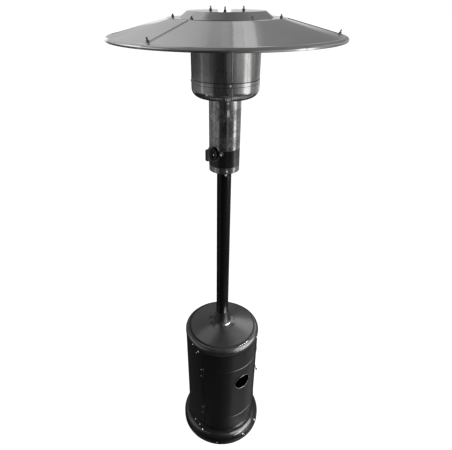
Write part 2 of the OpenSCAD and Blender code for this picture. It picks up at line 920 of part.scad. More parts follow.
// Keeper: a foot on the shell and a post with a rounded crest that holds the bail's bar
module latch_keeper() {
  color([0.62, 0.62, 0.64]) {
    sector(shell_r, shell_r + latch_t, latch_z - keeper_w / 2 - keeper_margin, keeper_w + 2 * keeper_margin,
      latch_az + arc_deg(door_gap, shell_r), latch_az + arc_deg(bail_reach + 3 * bail_wire_d, shell_r));
    at_latch() {
      translate([keeper_face_x - latch_t, -keeper_out, -keeper_w / 2])
        cube([latch_t, keeper_out - shell_r - latch_t / 4, keeper_w]);
      latch_rod(keeper_face_x - latch_t, keeper_out, latch_t, keeper_w / 2);
    }
  }
}

// BURNER COLUMN

lip_l = 9;
lip_r = column_in_r - lap_fit;
column_screw_az = 10.3;
column_screws_n = 3;
collar_screw_z = column_z + collar_h / 2;
neck_screw_drop = 14;
neck_screw_z = bowl_z - neck_screw_drop;
slot_az = 11.5;
slot_w = 5;
slot_h = 23;
slot_drop = 50.5;
slot_z = bowl_z - slot_drop;
slots_n = 3;
vent_az = -27;
vent_r = 1.6;
vent_pitch = 6;
vents_n = 4;
vent_drop = 92;
vent_z = bowl_z - vent_drop;
panel_r = column_r + panel_t;
panel_edge = 2.5;
spindle_r = spindle_d / 2;
panel_fit = 0.8;
panel_hole_r = spindle_r + panel_fit;
igniter_drop = 11;
igniter_wall = 1.2;
igniter_z = control_z + control_h - igniter_drop;
igniter_body_r = igniter_d / 2 + igniter_wall;

module column_collar() {
  plate_t = 2;
  color([0.72, 0.72, 0.73])
    difference() {
      union() {
        tube(column_r, column_in_r, column_z, collar_h);
        translate([0, 0, column_z])
          cylinder(h = plate_t, r = column_in_r + column_wall / 2);
        tube(lip_r, lip_r - column_wall, column_z + plate_t / 2, collar_h + lip_l);
        translate([0, 0, column_z - spigot_l])
          cylinder(h = spigot_l + plate_t, r = spigot_r);
      }
      translate([0, 0, column_z - spigot_l - cut])
        cylinder(h = spigot_l + plate_t + 2 * cut, r = spigot_r - spigot_wall);
      post_bolt_cuts();
      column_screw_cuts(collar_screw_z);
    }
}

module column_screw_cuts(z) {
  for (i = [0 : column_screws_n - 1])
    radial(column_screw_az + i * 360 / column_screws_n, z)
      translate([0, 0, lip_r - column_wall - cut])
        cylinder(h = 2 * column_wall + 3 * cut, r = screw_hole_r, $fn = 24);
}

module control_cuts() {
  radial(knob_az, valve_z)
    translate([0, 0, lip_r - column_wall - cut])
      cylinder(h = 2 * column_wall + panel_t + 3 * cut, r = panel_hole_r);
  radial(igniter_az, igniter_z)
    translate([0, 0, lip_r - column_wall - cut])
      cylinder(h = 2 * column_wall + panel_t + 3 * cut, r = igniter_body_r + bolt_fit);
}

module column_lower_sleeve() {
  color([0.6, 0.6, 0.61])
    difference() {
      union() {
        tube(column_r, column_in_r, control_z, control_h);
        tube(lip_r, lip_r - column_wall, control_z + control_h - 2 * lip_l, 3 * lip_l);
        tube(column_in_r + column_wall / 2, lip_r - column_wall, control_z + control_h - 2 * lip_l, lip_l);
      }
      control_cuts();
    }
}

module control_panel() {
  color([0.03, 0.03, 0.032])
    difference() {
      sector(column_r + lap_fit, panel_r, control_z + panel_edge, control_h - 2 * panel_edge,
        panel_az - panel_span / 2, panel_az + panel_span / 2);
      control_cuts();
    }
}

module column_upper_sleeve() {
  color([0.62, 0.62, 0.63])
    difference() {
      tube(column_r, column_in_r, sleeve_z, sleeve_h);
      for (i = [0 : slots_n - 1])
        radial(slot_az + i * 360 / slots_n, slot_z)
          translate([0, 0, column_in_r - cut]) {
            for (side = [-1, 1])
              translate([0, side * (slot_h - slot_w) / 2, 0])
                cylinder(h = column_wall + 2 * cut, r = slot_w / 2, $fn = 32);
            translate([-slot_w / 2, -(slot_h - slot_w) / 2, 0])
              cube([slot_w, slot_h - slot_w, column_wall + 2 * cut]);
          }
      for (i = [0 : vents_n - 1])
        radial(vent_az, vent_z + i * vent_pitch)
          translate([0, 0, column_in_r - cut])
            cylinder(h = column_wall + 2 * cut, r = vent_r, $fn = 24);
      column_screw_cuts(neck_screw_z);
    }
}

module column_screws() {
  color([0.8, 0.8, 0.81])
    for (z = [collar_screw_z, neck_screw_z])
      for (i = [0 : column_screws_n - 1])
        radial(column_screw_az + i * 360 / column_screws_n, z)
          translate([0, 0, column_r])
            pan_screw(head_r = small_head_r, shank_l = 2 * column_wall);
}

// CONTROLS

plug_r = plug_d / 2;
plug_from = 12;
bonnet_r = 12;
bonnet_l = 10;
knob_rest_gap = 1.3;
knob_back = panel_r + knob_travel + knob_rest_gap;
plug_floor_t = 12;
spindle_from = plug_from + plug_floor_t;
valve_axis_gap = 0.5;

module valve_body() {
  color([0.72, 0.6, 0.32])
    radial(knob_az, valve_z)
      difference() {
        translate([-valve_w / 2, -valve_h / 2, -valve_back])
          cube([valve_w, valve_h, valve_back + valve_front]);
        translate([0, 0, plug_from])
          cylinder(h = valve_front, r = plug_r + run_fit);
      }
}

module valve_bonnet() {
  color([0.72, 0.6, 0.32])
    radial(knob_az, valve_z)
      translate([0, 0, valve_front])
        difference() {
          cylinder(h = bonnet_l, r = bonnet_r, $fn = 64);
          translate([0, 0, -cut])
            cylinder(h = bonnet_l + 2 * cut, r = spindle_r + run_fit);
        }
}

module valve_plug() {
  color([0.75, 0.65, 0.4])
    radial(knob_az, valve_z)
      difference() {
        translate([0, 0, plug_from + valve_axis_gap])
          cylinder(h = valve_front - plug_from - 2 * valve_axis_gap, r = plug_r);
        translate([0, 0, spindle_from - knob_travel - valve_axis_gap])
          cylinder(h = valve_front, r = spindle_r + run_fit);
      }
}

knob_bore_l = 10;

module valve_spindle() {
  color([0.7, 0.7, 0.72])
    radial(knob_az, valve_z)
      translate([0, 0, spindle_from])
        cylinder(h = knob_back + knob_bore_l - spindle_from, r = spindle_r);
}

knob_skirt_share = 0.17;
knob_step_share = 0.12;
knob_taper_share = 0.94;
grip_w_share = 0.24;
grip_r_share = 0.88;
grip_chamfer_share = 0.07;

// Knob: a skirt, a tapered step and a raised grip bar with a chamfered front
module control_knob() {
  knob_r = knob_d / 2;
  skirt_h = knob_h * knob_skirt_share;
  grip_w = knob_d * grip_w_share;
  grip_r = knob_r * grip_r_share;
  chamfer = knob_h * grip_chamfer_share;
  color([0.03, 0.03, 0.03])
    radial(knob_az, valve_z)
      translate([0, 0, knob_back])
        difference() {
          union() {
            cylinder(h = skirt_h, r = knob_r);
            translate([0, 0, skirt_h])
              cylinder(h = knob_h * knob_step_share, r1 = grip_r, r2 = grip_r * knob_taper_share);
            intersection() {
              translate([-grip_w / 2, -knob_r, 0])
                cube([grip_w, knob_d, knob_h]);
              union() {
                cylinder(h = knob_h - chamfer, r = grip_r);
                translate([0, 0, knob_h - chamfer])
                  cylinder(h = chamfer, r1 = grip_r, r2 = grip_r - chamfer);
              }
            }
          }
          translate([0, 0, -cut])
            cylinder(h = knob_bore_l + cut, r = spindle_r);
        }
}

igniter_body_l = 20;
igniter_nut_h = 3;
igniter_out = 3;
igniter_flange_w = 2;
igniter_end_t = 2;

module igniter_housing() {
  color([0.75, 0.75, 0.76])
    radial(igniter_az, igniter_z)
      difference() {
        union() {
          translate([0, 0, panel_r - igniter_body_l])
            cylinder(h = igniter_body_l, r = igniter_body_r);
          translate([0, 0, panel_r])
            cylinder(h = igniter_nut_h, r = igniter_body_r + igniter_flange_w);
        }
        translate([0, 0, panel_r - igniter_body_l + igniter_end_t])
          cylinder(h = igniter_body_l + igniter_nut_h, r = igniter_d / 2 + run_fit);
      }
}

module igniter_button() {
  from = panel_r - igniter_body_l + igniter_end_t + igniter_travel + body_gap;
  color([0.8, 0.8, 0.8])
    radial(igniter_az, igniter_z)
      translate([0, 0, from])
        cylinder(h = panel_r + igniter_nut_h + igniter_travel + igniter_out - from, r = igniter_d / 2);
}

module tilt_switch() {
  switch_w = 14;
  switch_h = 18;
  switch_d = 12;
  color([0.85, 0.85, 0.82])
    radial(knob_az, valve_z)
      translate([valve_w / 2, -switch_h / 2, -valve_back])
        cube([switch_d, switch_h, switch_w]);
}

module gas_jet() {
  jet_r = 4;
  jet_h = 12;
  color([0.75, 0.62, 0.35])
    tube(jet_r, jet_r / 4, valve_z + valve_h / 2, jet_h);
}

// BURNER

burner_tube_r = burner_tube_d / 2;
burner_tube_wall = 1;
spider_t = 2;
mixing_gap = 30;
head_drop = 30;
burner_z = valve_z + valve_h / 2 + mixing_gap;
head_z = screen_z - head_drop;
head_h = 24;
head_r = burner_head_d / 2;
head_wall = 1.5;
bowl_flange_w = 4;
bowl_bore_r = column_in_r - bowl_flange_w;
pilot_az = 150;
pilot_place_r = 88;
bracket_t = 2;
bracket_w = 44;
bracket_rise = 10;
bracket_z = bowl_z + spider_t + bracket_rise;
rod_below = 8;
pilot_h = 44;
rod_r = 2;

module burner_tube() {
  windows = 4;
  window_az = 45;
  window_h = 16;
  color([0.6, 0.6, 0.62])
    difference() {
      union() {
        tube(burner_tube_r, burner_tube_r - burner_tube_wall, burner_z, head_z - burner_z);
        tube(column_in_r + bowl_wall, burner_tube_r - burner_tube_wall / 2, bowl_z + bowl_wall, spider_t);
      }
      // Air windows at the foot
      for (i = [0 : windows - 1])
        radial(window_az + i * 360 / windows, burner_z + window_h)
          cylinder(h = 2 * burner_tube_r, r = window_h / 3);
    }
}

module burner_head() {
  port_r = 4;
  color([0.5, 0.5, 0.52])
    difference() {
      translate([0, 0, head_z])
        cylinder(h = head_h, r = head_r);
      translate([0, 0, head_z + head_wall])
        cylinder(h = head_h - 2 * head_wall, r = head_r - head_wall);
      translate([0, 0, head_z - cut])
        cylinder(h = head_wall + 2 * cut, r = burner_tube_r - burner_tube_wall);
      for (i = [0 : burner_ports - 1])
        radial(i * 360 / burner_ports, head_z + head_h / 2)
          translate([0, 0, head_r - head_wall - cut])
            cylinder(h = head_wall + 2 * cut, r = port_r, $fn = 24);
    }
}

// A flat bracket on the burner tube that holds the pilot parts
module pilot_bracket() {
  reach = pilot_place_r + bracket_w / 5;
  color([0.65, 0.65, 0.66])
    rotate([0, 0, pilot_az])
      difference() {
        translate([-bracket_w / 2, -reach, bracket_z])
          cube([bracket_w, reach, bracket_t]);
        translate([0, 0, bracket_z - cut])
          cylinder(h = bracket_t + 2 * cut, r = burner_tube_r + lap_fit / 2);
        translate([-bracket_w, 0, bracket_z - cut])
          cube([2 * bracket_w, bracket_w, bracket_t + 2 * cut]);
        for (i = [-1 : 1])
          rotate([0, 0, i * arc_deg(bracket_w / 3, pilot_place_r)])
            translate([0, -pilot_place_r, bracket_z - cut])
              cylinder(h = bracket_t + 2 * cut, r = rod_r + lap_fit / 2, $fn = 24);
      }
}

// A rod through the bracket with a collar resting on it
module bracket_rod(i, above, collar_r, collar_l) {
  upright(pilot_az + i * arc_deg(bracket_w / 3, pilot_place_r), pilot_place_r, bracket_z) {
    translate([0, 0, -rod_below])
      cylinder(h = rod_below + bracket_t + above, r = rod_r, $fn = 24);
    translate([0, 0, bracket_t])
      cylinder(h = collar_l, r = collar_r, $fn = 32);
  }
}

module pilot_burner() {
  hood_r = 4.5;
  hood_l = 33;
  color([0.7, 0.6, 0.35])
    bracket_rod(0, pilot_h, collar_r = hood_r, collar_l = hood_l);
}

module thermocouple() {
  nut_collar_r = 3;
  nut_collar_l = 13;
  color([0.6, 0.5, 0.35])
    bracket_rod(1, pilot_h, collar_r = nut_collar_r, collar_l = nut_collar_l);
}

module igniter_electrode() {
  ceramic_r = 3.6;
  ceramic_l = 26;
  color([0.9, 0.9, 0.88])
    bracket_rod(-1, pilot_h, collar_r = ceramic_r, collar_l = ceramic_l);
}

// Section of the bowl: floor, round corner, wall, crease and rim
module bowl_profile() {
  w = bowl_wall;
  steps = 10;
  crease_w = 0.6;
  crease_z = screen_z - crease_drop;
  corner = [bowl_r - bowl_corner_r, bowl_z + bowl_corner_r];
  polygon(concat(
    [[bowl_bore_r, bowl_z]],
    arc_points(corner, bowl_corner_r, bowl_corner_r, -90, 0, steps),
    [[bowl_r, crease_z - crease_w],
     [bowl_r - crease_w, crease_z],
     [bowl_r, crease_z + crease_w],
     [bowl_r, screen_z],
     [bowl_r - w, screen_z],
     [bowl_r - w, crease_z + crease_w],
     [bowl_r - w - crease_w, crease_z],
     [bowl_r - w, crease_z - crease_w]],
    arc_points(corner, bowl_corner_r - w, bowl_corner_r - w, 0, -90, steps),
    [[bowl_bore_r, bowl_z + w]]));
}

bowl_screw_az = 8;
bowl_screws_n = 4;
bowl_screw_z = screen_z - crease_drop / 2;
collar_in_r = bowl_r - bowl_wall - lap_fit;

module bowl_screw_cuts() {
  for (i = [0 : bowl_screws_n - 1])
    radial(bowl_screw_az + i * 360 / bowl_screws_n, bowl_screw_z)
      translate([0, 0, collar_in_r - 2 * cut])
        cylinder(h = 3 * cut + bowl_wall + lap_fit, r = screw_hole_r, $fn = 24);
}

module burner_bowl() {
  color([0.66, 0.66, 0.67])
    difference() {
      union() {
        rotate_extrude($fn = 180)
          bowl_profile();
        tube(lip_r, lip_r - bowl_wall, bowl_z - 2 * lip_l, 2 * lip_l + bowl_wall / 2);
      }
      bowl_screw_cuts();
      column_screw_cuts(neck_screw_z);
    }
}

module bowl_screws() {
  color([0.85, 0.85, 0.86])
    for (i = [0 : bowl_screws_n - 1])
      radial(bowl_screw_az + i * 360 / bowl_screws_n, bowl_screw_z)
        translate([0, 0, bowl_r])
          pan_screw(head_r = small_head_r, shank_l = 2 * bowl_wall);
}

sight_azs = [1.7, -2.7];
sight_zs = [33, 43];
sight_r = 1.8;
crease_room = 3;

module emitter_screen() {
  collar_drop = crease_drop - crease_room;
  w = bowl_wall;
  color([0.5, 0.5, 0.51])
    difference() {
      union() {
        rotate_extrude($fn = 180)
          polygon([
            [screen_r, screen_z],
            [screen_r, cap_z],
            [screen_r - w, cap_z],
            [screen_r - w, screen_z + w],
            [collar_in_r - w, screen_z],
            [collar_in_r - w, screen_z - collar_drop],
            [collar_in_r, screen_z - collar_drop],
            [collar_in_r, screen_z]]);
      }
      bowl_screw_cuts();
      for (i = [0, 1])
        radial(sight_azs[i], screen_z + sight_zs[i])
          translate([0, 0, screen_r - w - cut])
            cylinder(h = w + 2 * cut, r = sight_r, $fn = 24);
    }
}

cap_lip_h = 8;
cap_lip_r = screen_r - bowl_wall - lap_fit;
studs_n = 3;

module emitter_cap() {
  color([0.55, 0.55, 0.56])
    difference() {
      union() {
        translate([0, 0, cap_z])
          cylinder(h = cap_t, r = screen_r);
        tube(cap_lip_r, cap_lip_r - bowl_wall, cap_z - cap_lip_h, cap_lip_h + cap_t / 2);
      }
      for (i = [0 : studs_n - 1])
        upright(stud_az + i * 360 / studs_n, stud_r, cap_z - cut)
          cylinder(h = cap_t + 2 * cut, r = bolt_hole_r, $fn = 24);
    }
}

// REFLECTOR

spacer_r = 6;

module reflector_spacers() {
  color([0.7, 0.7, 0.71])
    for (i = [0 : studs_n - 1])
      upright(stud_az + i * 360 / studs_n, stud_r, 0)
        tube(spacer_r, bolt_r + lap_fit, cap_z + cap_t, spacer_h);
}

module reflector_studs() {
  stack = cap_t + spacer_h + dish_wall;
  color([0.75, 0.75, 0.76])
    for (i = [0 : studs_n - 1])
      upright(stud_az + i * 360 / studs_n, stud_r, hat_z + dish_wall)
        stack_bolt(stack, nut_h + stud_tip);
}

module stud_nuts() {
  color([0.8, 0.8, 0.81])
    for (i = [0 : studs_n - 1])
      upright(stud_az + i * 360 / studs_n, stud_r, hat_z + dish_wall)
        nut();
}

ring_bolt_r = ring_r - ring_bolt_inset;
ring_bolt_azs = [for (i = [0 : ring_bolts_n - 1]) seam_az + i * 360 / ring_bolts_n];

module ring_bolt_cuts(z, h) {
  for (az = ring_bolt_azs)
    upright(az, ring_bolt_r, z)
      cylinder(h = h, r = bolt_hole_r, $fn = 24);
}

module reflector_hat() {
  w = dish_wall;
  hat_r = hat_top_d / 2;
  top = hat_z + w;
  color([0.6, 0.6, 0.6])
    difference() {
      rotate_extrude($fn = 180)
        polygon([
          [0, top],
          [hat_r, top],
          [ring_in_r, ring_z],
          [ring_r, ring_z],
          [ring_r, ring_z - w],
          [ring_in_r - w, ring_z - w],
          [hat_r - w, top - w],
          [0, top - w]]);
      ring_bolt_cuts(dish_z - cut, dish_wall + 2 * cut);
      for (i = [0 : studs_n - 1])
        upright(stud_az + i * 360 / studs_n, stud_r, hat_z - cut)
          cylinder(h = w + 2 * cut, r = bolt_hole_r, $fn = 24);
    }
}

cone_r = dish_r - lip_w;
seam_bolt_r = cone_r - seam_bolt_inset;
cone_tilt = atan(cone_drop / (cone_r - ring_r));
bead_in = 1.2;

// Section of the dish: ledge under the hat, cone, bent lip and straight edge with a return
module dish_profile() {
  w = dish_wall;
  steps = 8;
  lip_centre = [cone_r, dish_z - cone_drop - lip_bend_h];
  rim_z = lip_centre[1] - lip_edge_h;
  polygon(concat(
    [[ring_in_r + w, dish_z],
     [ring_r, dish_z]],
    arc_points(lip_centre, lip_w, lip_bend_h, 90, 0, steps),
    [[dish_r, rim_z + bead_in],
     [dish_r - bead_in, rim_z],
     [dish_r - 2 * bead_in - w, rim_z],
     [dish_r - 2 * bead_in - w, rim_z + w],
     [dish_r - w, rim_z + w + bead_in]],
    arc_points(lip_centre, lip_w - w, lip_bend_h - w, 0, 90, steps),
    [[ring_r, dish_z - w],
     [ring_in_r + w, dish_z - w]]));
}

cone_slope = cone_drop / (cone_r - ring_r);
seam_step = 360 / dish_panels;
seam_bolt_share = 0.3;
tongue_margin = 3;

// Height of the cone's sheet at a radius
function cone_z(r) = dish_z - (r - ring_r) * cone_slope;

// Joggled tongue of a seam, one sheet above the cone
module tongue_profile() {
  from = ring_r + tongue_margin;
  to = cone_r - tongue_margin / 2;
  polygon([
    [from, cone_z(from)],
    [to, cone_z(to)],
    [to, cone_z(to) + dish_wall],
    [from, cone_z(from) + dish_wall]]);
}

// Places the children on the cone at a seam's bolt, with +Z square to the sheet
module at_seam_bolt(i) {
  upright(seam_az + i * seam_step + seam_lap * seam_bolt_share, seam_bolt_r, cone_z(seam_bolt_r))
    rotate([cone_tilt, 0, 0])
      children();
}

module reflector_panel(i) {
  color([0.62, 0.62, 0.62])
    difference() {
      union() {
        rotate([0, 0, seam_az + i * seam_step - 90])
          rotate_extrude(angle = seam_step, $fn = 180)
            dish_profile();
        rotate([0, 0, seam_az + (i + 1) * seam_step - seam_lap / 2 - 90])
          rotate_extrude(angle = 3 * seam_lap / 2, $fn = 180)
            tongue_profile();
      }
      ring_bolt_cuts(dish_z - dish_wall - cut, dish_wall + 2 * cut);
      for (k = [i, i + 1])
        at_seam_bolt(k)
          translate([0, 0, -dish_wall - cut])
            cylinder(h = 2 * dish_wall + 2 * cut, r = bolt_hole_r, $fn = 24);
    }
}

module reflector_bolts() {
  color([0.75, 0.75, 0.76]) {
    for (az = ring_bolt_azs)
      upright(az, ring_bolt_r, ring_z)
        stack_bolt(2 * dish_wall, nut_h + flange_bolt_tip);
    for (i = [0 : dish_panels - 1])
      at_seam_bolt(i)
        translate([0, 0, dish_wall])
          stack_bolt(2 * dish_wall, nut_h + seam_bolt_tip);
  }
}

module reflector_nuts() {
  color([0.8, 0.8, 0.81]) {
    for (az = ring_bolt_azs)
      upright(az, ring_bolt_r, ring_z)
        nut();
    for (i = [0 : dish_panels - 1])
      at_seam_bolt(i)
        translate([0, 0, dish_wall])
          nut();
  }
}

base_pan();
base_screws();
support_leg(0);  // support_leg_1
support_leg(1);  // support_leg_2
support_leg(2);  // support_leg_3
leg_base_bolts();
leg_post_bolts();
post_foot();
post_tube();
gas_supply_pipe();
gas_inlet_fitting();
post_top_bolts();
housing_shell();
housing_cover();
cover_screws();
door_panel();
door_hole_trim();
hinge_fixed_leaves();
hinge_door_leaves();
hinge_pins();
hinge_screws();
latch_base();
latch_pin();
latch_lever();
latch_bail();
latch_keeper();
column_collar();
column_lower_sleeve();
column_upper_sleeve();
control_panel();
column_screws();
valve_body();
valve_bonnet();
valve_plug();
valve_spindle();
control_knob();
igniter_housing();
igniter_button();
tilt_switch();
gas_jet();
burner_tube();
burner_head();
pilot_bracket();
pilot_burner();
thermocouple();
igniter_electrode();
burner_bowl();
bowl_screws();
emitter_screen();
emitter_cap();
reflector_spacers();
reflector_studs();
stud_nuts();
reflector_hat();
reflector_panel(0);  // reflector_panel_1
reflector_panel(1);  // reflector_panel_2
reflector_panel(2);  // reflector_panel_3
reflector_bolts();
reflector_nuts();
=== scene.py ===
import json
import math
import bpy
import numpy as np
from mathutils import Matrix, Vector


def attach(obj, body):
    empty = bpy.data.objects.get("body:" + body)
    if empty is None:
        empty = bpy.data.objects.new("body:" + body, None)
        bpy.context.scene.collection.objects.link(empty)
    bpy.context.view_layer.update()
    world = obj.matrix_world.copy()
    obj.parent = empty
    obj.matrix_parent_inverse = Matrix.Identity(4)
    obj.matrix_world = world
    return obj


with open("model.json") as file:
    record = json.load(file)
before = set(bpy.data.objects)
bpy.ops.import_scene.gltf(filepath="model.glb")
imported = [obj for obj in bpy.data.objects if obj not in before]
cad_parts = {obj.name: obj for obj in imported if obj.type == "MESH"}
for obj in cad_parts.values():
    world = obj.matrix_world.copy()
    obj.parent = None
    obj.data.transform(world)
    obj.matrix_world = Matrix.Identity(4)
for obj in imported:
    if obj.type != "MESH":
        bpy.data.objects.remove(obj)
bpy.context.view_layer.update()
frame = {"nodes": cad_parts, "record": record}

nodes = frame["nodes"]
scene = bpy.context.scene


# Places a shader node. An input takes a number, a vector, a colour without its alpha, or another node's output
def addNode(tree, kind, inputs=None, **settings):
    node = tree.nodes.new(kind)
    for key, value in settings.items():
        setattr(node, key, value)
    for key, value in (inputs or {}).items():
        socket = node.inputs[key]
        if isinstance(value, tuple):
            socket.default_value = (*value, 1)[:len(socket.default_value)]
        elif isinstance(value, (int, float)):
            socket.default_value = value
        else:
            link(tree, value, socket)
    return node


def link(tree, source, target):
    tree.links.new(source, target)


def mathNode(tree, operation, a, b=0.0, clamp=False):
    return addNode(tree, "ShaderNodeMath", {0: a, 1: b}, operation=operation, use_clamp=clamp).outputs[0]


def plus(tree, a, b, clamp=False):
    return mathNode(tree, "ADD", a, b, clamp)


def minus(tree, a, b):
    return mathNode(tree, "SUBTRACT", a, b)


def times(tree, a, b, clamp=False):
    return mathNode(tree, "MULTIPLY", a, b, clamp)


def greatest(tree, masks):
    most = masks[0]
    for mask in masks[1:]:
        most = mathNode(tree, "MAXIMUM", most, mask)
    return most


def mapRange(tree, value, fromMin, fromMax, toMin=0.0, toMax=1.0):
    inputs = {"Value": value, "From Min": fromMin, "From Max": fromMax, "To Min": toMin, "To Max": toMax}
    return addNode(tree, "ShaderNodeMapRange", inputs, clamp=True).outputs["Result"]


def objectPlace(tree):
    return addNode(tree, "ShaderNodeTexCoord").outputs["Object"]


def splitParts(tree, vector):
    return addNode(tree, "ShaderNodeSeparateXYZ", {0: vector}).outputs


def stretched(tree, vector, factors):
    return addNode(tree, "ShaderNodeVectorMath", {0: vector, 1: factors}, operation="MULTIPLY").outputs[0]


def noiseNode(tree, vector, scale, **inputs):
    return addNode(tree, "ShaderNodeTexNoise", {"Vector": vector, "Scale": scale, **inputs}).outputs["Fac"]


def bumpNode(tree, height, strength, distance, normal=None, invert=False):
    inputs = {"Strength": strength, "Distance": distance, "Height": height}
    if normal is not None:
        inputs["Normal"] = normal
    return addNode(tree, "ShaderNodeBump", inputs, invert=invert).outputs[0]


def mixColour(tree, factor, a, b):
    return addNode(tree, "ShaderNodeMix", {"Factor": factor, "A": a, "B": b}, data_type="RGBA").outputs["Result"]


def mixShader(tree, factor, a, b):
    return addNode(tree, "ShaderNodeMixShader", {0: factor, 1: a, 2: b}).outputs[0]


def useGroup(tree, group, **inputs):
    return addNode(tree, "ShaderNodeGroup", inputs, node_tree=group).outputs[0]


# Fills a colour ramp from pairs of position and grey
def stops(ramp, pairs):
    ramp.interpolation = "LINEAR"
    while len(ramp.elements) > 1:
        ramp.elements.remove(ramp.elements[0])
    ramp.elements[0].position = pairs[0][0]
    ramp.elements[0].color = (*grey(pairs[0][1]), 1)
    for position, shade in pairs[1:]:
        ramp.elements.new(position).color = (*grey(shade), 1)


def grey(shade):
    return (shade, shade, shade)


print("scene: node groups")


# A node group with number inputs and one output. "build" gets its tree and inputs, and returns the result's socket
def makeGroup(name, output, build, **inputs):
    group = bpy.data.node_groups.new(name, "ShaderNodeTree")
    for label, default in inputs.items():
        socket = group.interface.new_socket(name=label, in_out="INPUT", socket_type="NodeSocketFloat")
        socket.default_value = default
    group.interface.new_socket(name=output, in_out="OUTPUT", socket_type="NodeSocketFloat")
    result = build(group, addNode(group, "NodeGroupInput").outputs)
    addNode(group, "NodeGroupOutput", {output: result})
    return group


# Grain: fine noise stretched along the axes, as a 0..1 mask
def buildGrain(tree, given):
    axes = {i: given[axis] for i, axis in enumerate(("StretchX", "StretchY", "StretchZ"))}
    place = stretched(tree, objectPlace(tree), addNode(tree, "ShaderNodeCombineXYZ", axes).outputs[0])
    return noiseNode(tree, place, given["Scale"], Detail=3, Roughness=0.6)


# Smudges: large soft patches mixed with streaks that run down, as a 0..1 mask
def buildSmudges(tree, given):
    place = objectPlace(tree)
    patches = noiseNode(tree, place, given["PatchScale"], Detail=4, Roughness=0.65, Distortion=0.8)
    streaks = noiseNode(tree, stretched(tree, place, (1, 1, 0.06)), given["StreakScale"], Detail=3)
    mix = addNode(tree, "ShaderNodeMix", {"Factor": given["StreakShare"], "A": patches, "B": streaks}, data_type="FLOAT")
    return mix.outputs["Result"]


# Edge wear: 1 where the surface bends sharply, broken up by noise
def buildWear(tree, given):
    rounded = addNode(tree, "ShaderNodeBevel", {"Radius": given["Radius"]}, samples=4).outputs[0]
    normal = addNode(tree, "ShaderNodeNewGeometry").outputs["Normal"]
    dot = addNode(tree, "ShaderNodeVectorMath", {0: rounded, 1: normal}, operation="DOT_PRODUCT")
    edge = mapRange(tree, dot.outputs["Value"], 0.97, 0.8)
    broken = mapRange(tree, noiseNode(tree, objectPlace(tree), 240), 0.35, 0.62)
    return times(tree, times(tree, edge, broken), given["Amount"])


# Dust, on the lid also painted sheen: lighter colour on faces that look up, in soft patches
def buildDustAndSheen(tree, given):
    facing = splitParts(tree, addNode(tree, "ShaderNodeNewGeometry").outputs["Normal"])
    up = mapRange(tree, facing["Z"], 0.2, 0.95)
    patchy = mapRange(tree, noiseNode(tree, objectPlace(tree), given["Scale"], Detail=5), 0.38, 0.7)
    return times(tree, times(tree, up, patchy), given["Amount"])


# Bands: 1 between two values, with soft ends, of the height on the object or of the radius from its axis
def between(tree, given, measure):
    above = mathNode(tree, "DIVIDE", minus(tree, measure, given["Low"]), given["Soft"], clamp=True)
    below = mathNode(tree, "DIVIDE", minus(tree, given["High"], measure), given["Soft"], clamp=True)
    return times(tree, above, below)


def buildHeight(tree, given):
    return between(tree, given, splitParts(tree, objectPlace(tree))["Z"])


def buildRing(tree, given):
    flat = stretched(tree, objectPlace(tree), (1, 1, 0))
    return between(tree, given, addNode(tree, "ShaderNodeVectorMath", {0: flat}, operation="LENGTH").outputs["Value"])


# Flare: how far a foot swings out below a height, as the square of the depth below it
def buildFlare(tree, given):
    depth = minus(tree, given["Top"], splitParts(tree, objectPlace(tree))["Z"])
    depth = mathNode(tree, "MAXIMUM", depth, 0.0)
    return times(tree, times(tree, depth, depth), given["Bend"])


# Punched holes on a tube: distance to the nearest hole of staggered rows, as a 0..1 mask
def buildPunch(tree, given):
    place = splitParts(tree, objectPlace(tree))
    turn = mathNode(tree, "ARCTAN2", place["X"], times(tree, place["Y"], -1.0))
    along = mathNode(tree, "DIVIDE", times(tree, turn, given["TubeRadius"]), given["Pitch"])
    up = mathNode(tree, "DIVIDE", place["Z"], given["Pitch"])
    shifted = plus(tree, along, times(tree, mathNode(tree, "FLOOR", up), 0.5))
    aside = minus(tree, mathNode(tree, "FRACT", shifted), 0.5)
    above = minus(tree, mathNode(tree, "FRACT", up), 0.5)
    squares = plus(tree, times(tree, aside, aside), times(tree, above, above))
    rim = minus(tree, given["HoleShare"], mathNode(tree, "SQRT", squares))
    return times(tree, rim, 16.0, clamp=True)


grainGroup = makeGroup("grain", "Mask", buildGrain, Scale=400.0, StretchX=1.0, StretchY=1.0, StretchZ=1.0)
smudgeGroup = makeGroup("smudges", "Mask", buildSmudges, PatchScale=9.0, StreakScale=60.0, StreakShare=0.4)
wearGroup = makeGroup("edgeWear", "Mask", buildWear, Radius=0.002, Amount=0.5)
dustAndSheenGroup = makeGroup("dustAndSheen", "Mask", buildDustAndSheen, Amount=0.3, Scale=14.0)
heightGroup = makeGroup("heightBand", "Mask", buildHeight, Low=0.0, High=1.0, Soft=0.001)
ringGroup = makeGroup("ring", "Mask", buildRing, Low=0.0, High=1.0, Soft=0.001)
flareGroup = makeGroup("flare", "Height", buildFlare, Top=0.1, Bend=5.0)
punchGroup = makeGroup("punched", "Mask", buildPunch, TubeRadius=0.061, Pitch=0.004, HoleShare=0.3)


def newMaterial(name):
    material = bpy.data.materials.new(name)
    material.use_nodes = True
    tree = material.node_tree
    return material, tree, tree.nodes["Principled BSDF"]


def smudges(tree, look):
    scales = {"PatchScale": look["patchScale"], "StreakScale": look["streakScale"], "StreakShare": look["streakShare"]}
    return useGroup(tree, smudgeGroup, **scales)


# What all coats share: their streaks, dust (on the lid also painted sheen), worn edges down to bare metal, and the
# softness of grimy edges
coatLook = {"streakScale": 45.0, "streakShare": 0.3, "dustAndSheenScale": 22.0, "dustAndSheenRough": 0.5, "wearRadius": 0.0012,
            "bareMetal": 0.16, "grooves": (), "rings": (), "grooveSoft": 0.0008, "stainSoft": 0.012, "shadeSoft": 0.003,
            "crispSoft": 0.002, "peelDepth": 0.0004}


